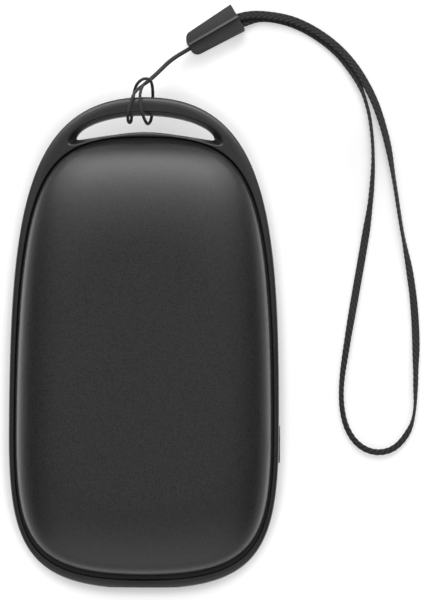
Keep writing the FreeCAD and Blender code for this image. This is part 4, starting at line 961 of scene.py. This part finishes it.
@dataclass
class WovenTape(Cord):
    """The flat woven wrist strap, which turns over along its way."""

    name: str = "woven_wrist_strap"
    node: str = "wrist_strap"
    route: Sequence[Place] = STRAP_ROUTE
    finish: Finish = Finishes.STRAP
    width: float = 1.7 * MM
    thickness: float = 0.7 * MM
    around: int = 28
    steps: int = 64
    pitch: float = 1.3 * MM
    relief: float = 0.085 * MM
    turns: Sequence[float] = STRAP_TURNS
    squareness: float = 0.45
    rib_slope: float = 0.9
    plain_edge: float = 3.0
    side_share: float = 0.3

    def squared(self, part: float) -> float:
        """One part of a round section's reach, made squarer."""
        return math.copysign(abs(part) ** self.squareness, part)

    def section(self, turn: float, way: float) -> tuple[float, float, float]:
        """The surface at one place, with slanting ribs that meet in the middle.

        Args:
            turn: the angle round the strap.
            way: the distance along it, in metres.

        Returns:
            The reach along the two directions across the strap, and the yarn's height there.
        """
        across, up = self.squared(math.cos(turn)), self.squared(math.sin(turn))
        half_pitch = 0.5 if up < 0 else 0.0
        slant = way / self.pitch + abs(across) * self.rib_slope + half_pitch
        inside = min(1.0, self.plain_edge * abs(math.sin(turn)))
        yarn = (1 + inside * math.cos(FULL_TURN * slant)) / 2
        sunk = self.relief * (1 - yarn)
        reach = across * (self.width / 2 - sunk * self.side_share)
        return reach, up * (self.thickness / 2 - sunk), yarn

    def twist(self, share: float) -> float:
        """How far the tape leans over.

        Args:
            share: the share of the line so far.

        Returns:
            The angle.
        """
        stretches = len(self.turns) - 2
        place = share * stretches
        stops = [0.0] + [index + 0.5 for index in range(stretches)] + [float(stretches)]
        for index, (start, end) in enumerate(zip(stops, stops[1:])):
            if place <= end:
                part = (place - start) / (end - start)
                eased = part * part * (3 - 2 * part)
                before, after = self.turns[index:index + 2]
                return math.radians(before * (1 - eased) + after * eased)
        return math.radians(self.turns[-1])

    def settle(self, line: Line) -> None:
        """Lifts the line where the tape stands on its edge, and levels its directions.

        Args:
            line: the strap's line.
        """
        last = len(line.points) - 1
        for index, point in enumerate(line.points):
            angle = self.twist(index / last)
            stand = (abs(math.sin(angle)) * self.width + abs(math.cos(angle)) * self.thickness) / 2
            point.z = max(point.z, stand)
            tangent = line.run(index)
            line.sides[index] = Vector((tangent.y, -tangent.x, 0.0)).normalized()
            line.lifts[index] = line.sides[index].cross(tangent).normalized()


@dataclass
class StrapCrimp:
    """The moulded end that joins the thin cord to the strap."""

    name: str = "moulded_strap_end"
    node: str = "strap_crimp"
    finish: Finish = Finishes.CRIMP
    start: Place = (9.5 * MM, 66.66 * MM, 0.0)
    heading: float = math.radians(30.7)
    length: float = 12.55 * MM
    raised_half: Span = (2.65 * MM, 3.4 * MM)
    low_half: Span = (2.2 * MM, 2.85 * MM)
    thickness: float = 3.3 * MM
    step: float = 0.8 * MM
    corner: float = 1.5 * MM
    edge: float = 0.3 * MM
    rib_height: float = 0.24 * MM
    rib_width: float = 0.55 * MM
    rib_edge: float = 0.1 * MM
    corner_facets: int = 6
    edge_facets: int = 5
    sharp: float = math.radians(50)
    crease: float = math.radians(20.5)
    flat: float = 0.01
    weld: float = 0.0001 * MM

    def block(self) -> Shape:
        """A tapered block, cut along both sides of the rib.

        Returns:
            The shape.
        """
        shape = bmesh.new()
        bmesh.ops.create_cube(shape, size=1.0)
        for vertex in shape.verts:
            narrow, wide = self.raised_half if vertex.co.y > 0 else self.low_half
            reach = narrow if vertex.co.x < 0 else wide
            vertex.co = ((vertex.co.x + 0.5) * self.length, vertex.co.y * 2 * reach,
                         (vertex.co.z + 0.5) * self.thickness)
        for aside in (0.0, self.rib_width):
            whole = shape.verts[:] + shape.edges[:] + shape.faces[:]
            bmesh.ops.bisect_plane(shape, geom=whole, plane_co=(0, aside, 0), plane_no=(0, 1, 0),
                                   dist=self.weld)
        shape.normal_update()
        return shape

    def raise_half(self, shape: Shape) -> None:
        """Raises one half of the block, and its rib above that.

        Args:
            shape: the block.
        """
        upward = 0.9
        raised = [face for face in shape.faces
                  if face.normal.z > upward and face.calc_center_median().y > 0]
        lifted = bmesh.ops.extrude_face_region(shape, geom=raised)["geom"]
        bmesh.ops.translate(shape, vec=(0, 0, self.step),
                            verts=[part for part in lifted
                                   if isinstance(part, bmesh.types.BMVert)])
        bmesh.ops.delete(shape, geom=[face for face in raised if face.is_valid],
                         context="FACES")
        bmesh.ops.remove_doubles(shape, verts=shape.verts, dist=self.weld)
        crest = [vertex for vertex in shape.verts
                 if abs(vertex.co.y) < 10 * self.weld
                 and vertex.co.z > self.thickness + self.step / 2]
        bmesh.ops.translate(shape, vec=(0, 0, self.rib_height), verts=crest)
        bmesh.ops.dissolve_limit(shape, angle_limit=self.flat, verts=shape.verts,
                                 edges=shape.edges)

    def round_off(self, shape: Shape) -> None:
        """Rounds the narrow end's corners, the rib and every sharp edge.

        Args:
            shape: the block with its raised half.
        """
        near_end, near_side = self.length * 0.1, self.low_half[0] * 0.7
        tall, crest = self.thickness * 0.5, self.thickness + self.step + self.rib_height * 0.9
        corners = [edge for edge in shape.edges
                   if all(vertex.co.x < near_end and abs(vertex.co.y) > near_side
                          for vertex in edge.verts)
                   and abs(edge.verts[0].co.z - edge.verts[1].co.z) > tall]
        round_edges(shape, corners, self.corner, self.corner_facets)
        rib = [edge for edge in shape.edges
               if all(vertex.co.z > crest for vertex in edge.verts)]
        round_edges(shape, rib, self.rib_edge, self.corner_facets)
        sharp = [edge for edge in shape.edges
                 if len(edge.link_faces) == 2 and edge.calc_face_angle() > self.sharp]
        round_edges(shape, sharp, self.edge, self.edge_facets, clamped=True)

    def build(self) -> Object:
        """Models the strap end and puts it in its place.

        Returns:
            The piece.
        """
        shape = self.block()
        self.raise_half(shape)
        self.round_off(shape)
        turn = Matrix.Translation(self.start) @ Matrix.Rotation(self.heading, 4, "Z")
        bmesh.ops.transform(shape, matrix=turn, verts=shape.verts)
        bmesh.ops.recalc_face_normals(shape, faces=shape.faces)
        mesh = as_mesh(shape, self.name)
        mesh.shade_smooth()
        mesh.set_sharp_from_angle(angle=self.crease)
        return publish(mesh, self.finish, self.node)


@dataclass
class PaintedShadowHalo:
    """The floor's white glow for the camera, weak close to the warmer so that its shadow is kept
    there; its rise away from the outline also paints a soft dark ring round the warmer, a painted
    shadow.
    """

    centre: Place = (-0.24 * MM, -19.5 * MM, 0.0)
    half_width: float = 30.05 * MM
    half_far: float = 74.85 * MM
    half_near: float = 34.0 * MM
    power: float = 2.95
    reach: Span = (0.85, 1.65)
    levels: Stops = (
        (0.19, 0.21), (0.2, 0.235), (0.2125, 0.27), (0.225, 0.33), (0.2375, 0.38), (0.25, 0.42),
        (0.2625, 0.45), (0.2875, 0.475), (0.375, 0.5), (0.45, 0.45), (0.525, 0.35),
        (0.5625, 0.335), (0.6875, 0.31), (0.9375, 0.27))
    ends: Span = (-90 * MM, 60 * MM)
    along: Stops = (
        (0.1, 2.05), (0.16, 1.88), (0.187, 1.66), (0.233, 1.42), (0.28, 1.28), (0.36, 1.1),
        (0.467, 1.0), (0.667, 1.0), (0.773, 0.85), (0.893, 0.68), (0.927, 0.76), (0.967, 1.05))

    def level(self, graph: Graph, place: Socket) -> Socket:
        """The glow on egg-shaped rings round the warmer, with its painted shadow at the outline,
        scaled along the warmer's length: stronger in front, weaker towards the arch and strong
        again beyond it.

        Args:
            graph: the floor's node tree.
            place: the coordinates on the floor.

        Returns:
            A value socket.
        """
        moved = graph.vector(Operation.SUBTRACT, place, self.centre)
        aside = graph.math(Operation.DIVIDE,
                           graph.math(Operation.ABSOLUTE, graph.part(moved, "X")),
                           self.half_width)
        depth = graph.part(moved, "Y")
        ahead = graph.math(Operation.MAXIMUM,
                           graph.math(Operation.DIVIDE, depth, self.half_far),
                           graph.math(Operation.DIVIDE, depth, -self.half_near))
        total = graph.math(Operation.ADD, graph.math(Operation.POWER, aside, self.power),
                           graph.math(Operation.POWER, ahead, self.power))
        share = graph.math(Operation.POWER, total, 1 / self.power)
        # Painted shadow: the glow is weakest at and inside the outline and rises over the first
        # rings outside it.
        rings = graph.greys(graph.span(share, source=self.reach), self.levels)
        even = graph.greys(graph.span(graph.part(place, "Y"), source=self.ends), self.along)
        return graph.math(Operation.MULTIPLY, rings, even)


@dataclass
class PaintedReflectionRing:
    """A painted reflection: a bright ring of emission on the floor round the outline that only
    glossy rays see, so the warmer's glossy sides mirror it as bright rims.
    """

    strength: float = 1.2
    outline: Place = (29.35 * MM, 53.6 * MM, 1.0)
    reach: Span = (-10 * MM, 110 * MM)
    levels: Stops = (
        (0.05, 0.0), (0.083, 0.35), (0.108, 0.6), (0.183, 1.0), (0.283, 0.9), (0.383, 0.5),
        (0.467, 0.28), (0.583, 0.12), (0.833, 0.0))
    fade: Span = (30 * MM, 55 * MM)

    def level(self, graph: Graph, place: Socket) -> Socket:
        """The painted reflection ring by its distance from the outline, which fades out towards the
        arch.

        Args:
            graph: the floor's node tree.
            place: the coordinates on the floor.

        Returns:
            A value socket.
        """
        share = graph.vector(Operation.LENGTH,
                             graph.vector(Operation.DIVIDE, place, self.outline))
        away = graph.vector(Operation.LENGTH, place)
        beyond = graph.math(Operation.SUBTRACT, away,
                            graph.math(Operation.DIVIDE, away, share))
        ring = graph.greys(graph.span(beyond, source=self.reach), self.levels, self.strength)
        kept = graph.span(graph.part(place, "Y"), (1.0, 0.0), self.fade)
        return graph.math(Operation.MULTIPLY, ring, kept)


@dataclass
class Floor:
    """A wide pale floor that shows white to the camera and keeps the shadow, with a painted shadow
    round the warmer and a painted reflection that only glossy rays see.
    """

    width: float = 8.0
    colour: Colour = (0.55, 0.55, 0.55)
    seen_colour: Colour = (0.75, 0.75, 0.75)
    painted_shadow_halo: PaintedShadowHalo = field(default_factory=PaintedShadowHalo)
    painted_reflection: PaintedReflectionRing = field(default_factory=PaintedReflectionRing)

    def material(self) -> Material:
        """Matt white with a glow for the camera that carries a painted shadow, and a painted
        reflection ring for glossy surfaces.

        Returns:
            The material.
        """
        graph = Graph(bpy.data.materials.new("floor_white"))
        path = graph.add("LightPath").outputs
        place = graph.coordinates()
        straight = graph.math(Operation.MAXIMUM, path["Is Camera Ray"],
                              path["Is Transmission Ray"])
        # The camera's white glow, with the painted shadow round the warmer.
        glow = graph.math(Operation.MULTIPLY, straight, self.painted_shadow_halo.level(graph, place))
        # Painted reflection: emission that only glossy rays see.
        painted_reflection = graph.math(Operation.MULTIPLY, path["Is Glossy Ray"],
                           self.painted_reflection.level(graph, place))
        tone = graph.blend(path["Is Camera Ray"], self.colour, self.seen_colour)
        matt = graph.add("BsdfDiffuse", {"Color": tone}).outputs[0]
        level = graph.math(Operation.ADD, glow, painted_reflection)
        shine = graph.add("Emission", {"Strength": level}).outputs[0]
        both = graph.add("AddShader", {0: matt, 1: shine}).outputs[0]
        graph.add("OutputMaterial", {"Surface": both})
        return graph.owner

    def build(self) -> None:
        """Lays the floor."""
        shape = bmesh.new()
        bmesh.ops.create_grid(shape, x_segments=1, y_segments=1, size=self.width / 2)
        mesh = as_mesh(shape, "floor")
        mesh.materials.append(self.material())
        floor = add_object("floor", mesh)


@dataclass
class Sky:
    """Soft light that is brightest behind the arch and weakest low at both sides."""

    strength: float = 4.0
    along: Stops = (
        (0.0, 0.3), (0.155, 0.26), (0.29, 0.18), (0.45, 0.12), (0.57, 0.122), (0.7, 0.25),
        (0.75, 0.42), (0.81, 0.66), (0.88, 0.96), (0.915, 1.0), (0.953, 0.75), (0.9755, 0.35),
        (0.989, 0.15), (1.0, 0.06))
    across: Stops = (
        (0.0, 1.0), (0.3, 0.98), (0.6, 0.8), (0.78, 0.58), (0.92, 0.28), (1.0, 0.25))

    def build(self) -> None:
        """Sets the light up as the scene's world."""
        world = bpy.data.worlds.new("studio")
        graph = Graph(world)
        facing = graph.coordinates(Pattern.SKY)
        depth = graph.span(graph.part(facing, "Y"), source=(-1.0, 1.0))
        aside = graph.math(Operation.ABSOLUTE, graph.part(facing, "X"))
        colour = graph.blend(1.0, graph.greys(depth, self.along),
                             graph.greys(aside, self.across), Mixing.MULTIPLY)
        light = graph.add("Background", {"Color": colour, "Strength": self.strength})
        graph.add("OutputWorld", {"Surface": light.outputs[0]})
        bpy.context.scene.world = world


@dataclass
class Softbox:
    """A rectangular studio lamp aimed at the warmer from behind the arch."""

    place: Place = (0.0, 0.87, 0.6)
    size: Span = (0.9, 0.4)
    brightness: float = 1.5

    def build(self, target: Vector) -> None:
        """Sets the lamp up.

        Args:
            target: what it is aimed at.
        """
        lamp = bpy.data.lights.new("far_softbox", "AREA")
        lamp.shape = "RECTANGLE"
        lamp.size, lamp.size_y = self.size
        lamp.energy = self.brightness * math.pi * lamp.size * lamp.size_y
        holder = add_object("far_softbox", lamp)
        holder.location = target + Vector(self.place)
        holder.rotation_euler = (-Vector(self.place)).to_track_quat("-Z", "Y").to_euler()


@dataclass
class Camera:
    """A long lens almost straight above the warmer."""

    distance: float = 0.8
    tilt: float = math.radians(5.0)
    roll: float = math.radians(0.195)
    frame_height: float = 130.9 * MM
    sensor: float = 36.0
    far_limit: float = 20.0

    def build(self, target: Vector) -> None:
        """Sets the camera up.

        Args:
            target: what it is aimed at.
        """
        lens = bpy.data.cameras.new("camera")
        lens.sensor_width = self.sensor
        lens.lens = self.sensor * self.distance / self.frame_height
        lens.clip_end = self.far_limit
        holder = add_object("camera", lens)
        upward = Vector((0.0, -math.sin(self.tilt), math.cos(self.tilt)))
        holder.location = target + upward * self.distance
        turn = Matrix.Rotation(self.tilt, 3, "X") @ Matrix.Rotation(self.roll, 3, "Z")
        holder.rotation_euler = turn.to_euler()
        bpy.context.scene.camera = holder


@dataclass
class Studio:
    """The pale floor, the soft light and the camera."""

    target_mm: Place = (15.21, 9.33, 12.5)
    floor: Floor = field(default_factory=Floor)
    sky: Sky = field(default_factory=Sky)
    lamp: Softbox = field(default_factory=Softbox)
    camera: Camera = field(default_factory=Camera)

    def build(self) -> None:
        """Sets up the floor, the light and the camera."""
        bpy.context.scene.view_settings.view_transform = "Standard"
        self.floor.build()
        self.sky.build()
        target = Vector(self.target_mm) * MM
        self.lamp.build(target)
        self.camera.build(target)


def main() -> None:
    """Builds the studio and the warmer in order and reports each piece."""
    logging.basicConfig(level=logging.INFO, format="%(name)s: %(message)s")
    Studio().build()
    crimp = StrapCrimp().build()
    pieces = [crimp, ThinCord().build(crimp), WovenTape().build(crimp)]
    for assembly in (HousingShells(), FrameBand(), SideControls(), ChargingPort(), ControlBoard(),
                     PowerPack(), Heating()):
        pieces += assembly.build()
    for piece in pieces:
        log.info("%s wears %s", piece.name, piece.active_material.name)


if __name__ == "__main__":
    main()
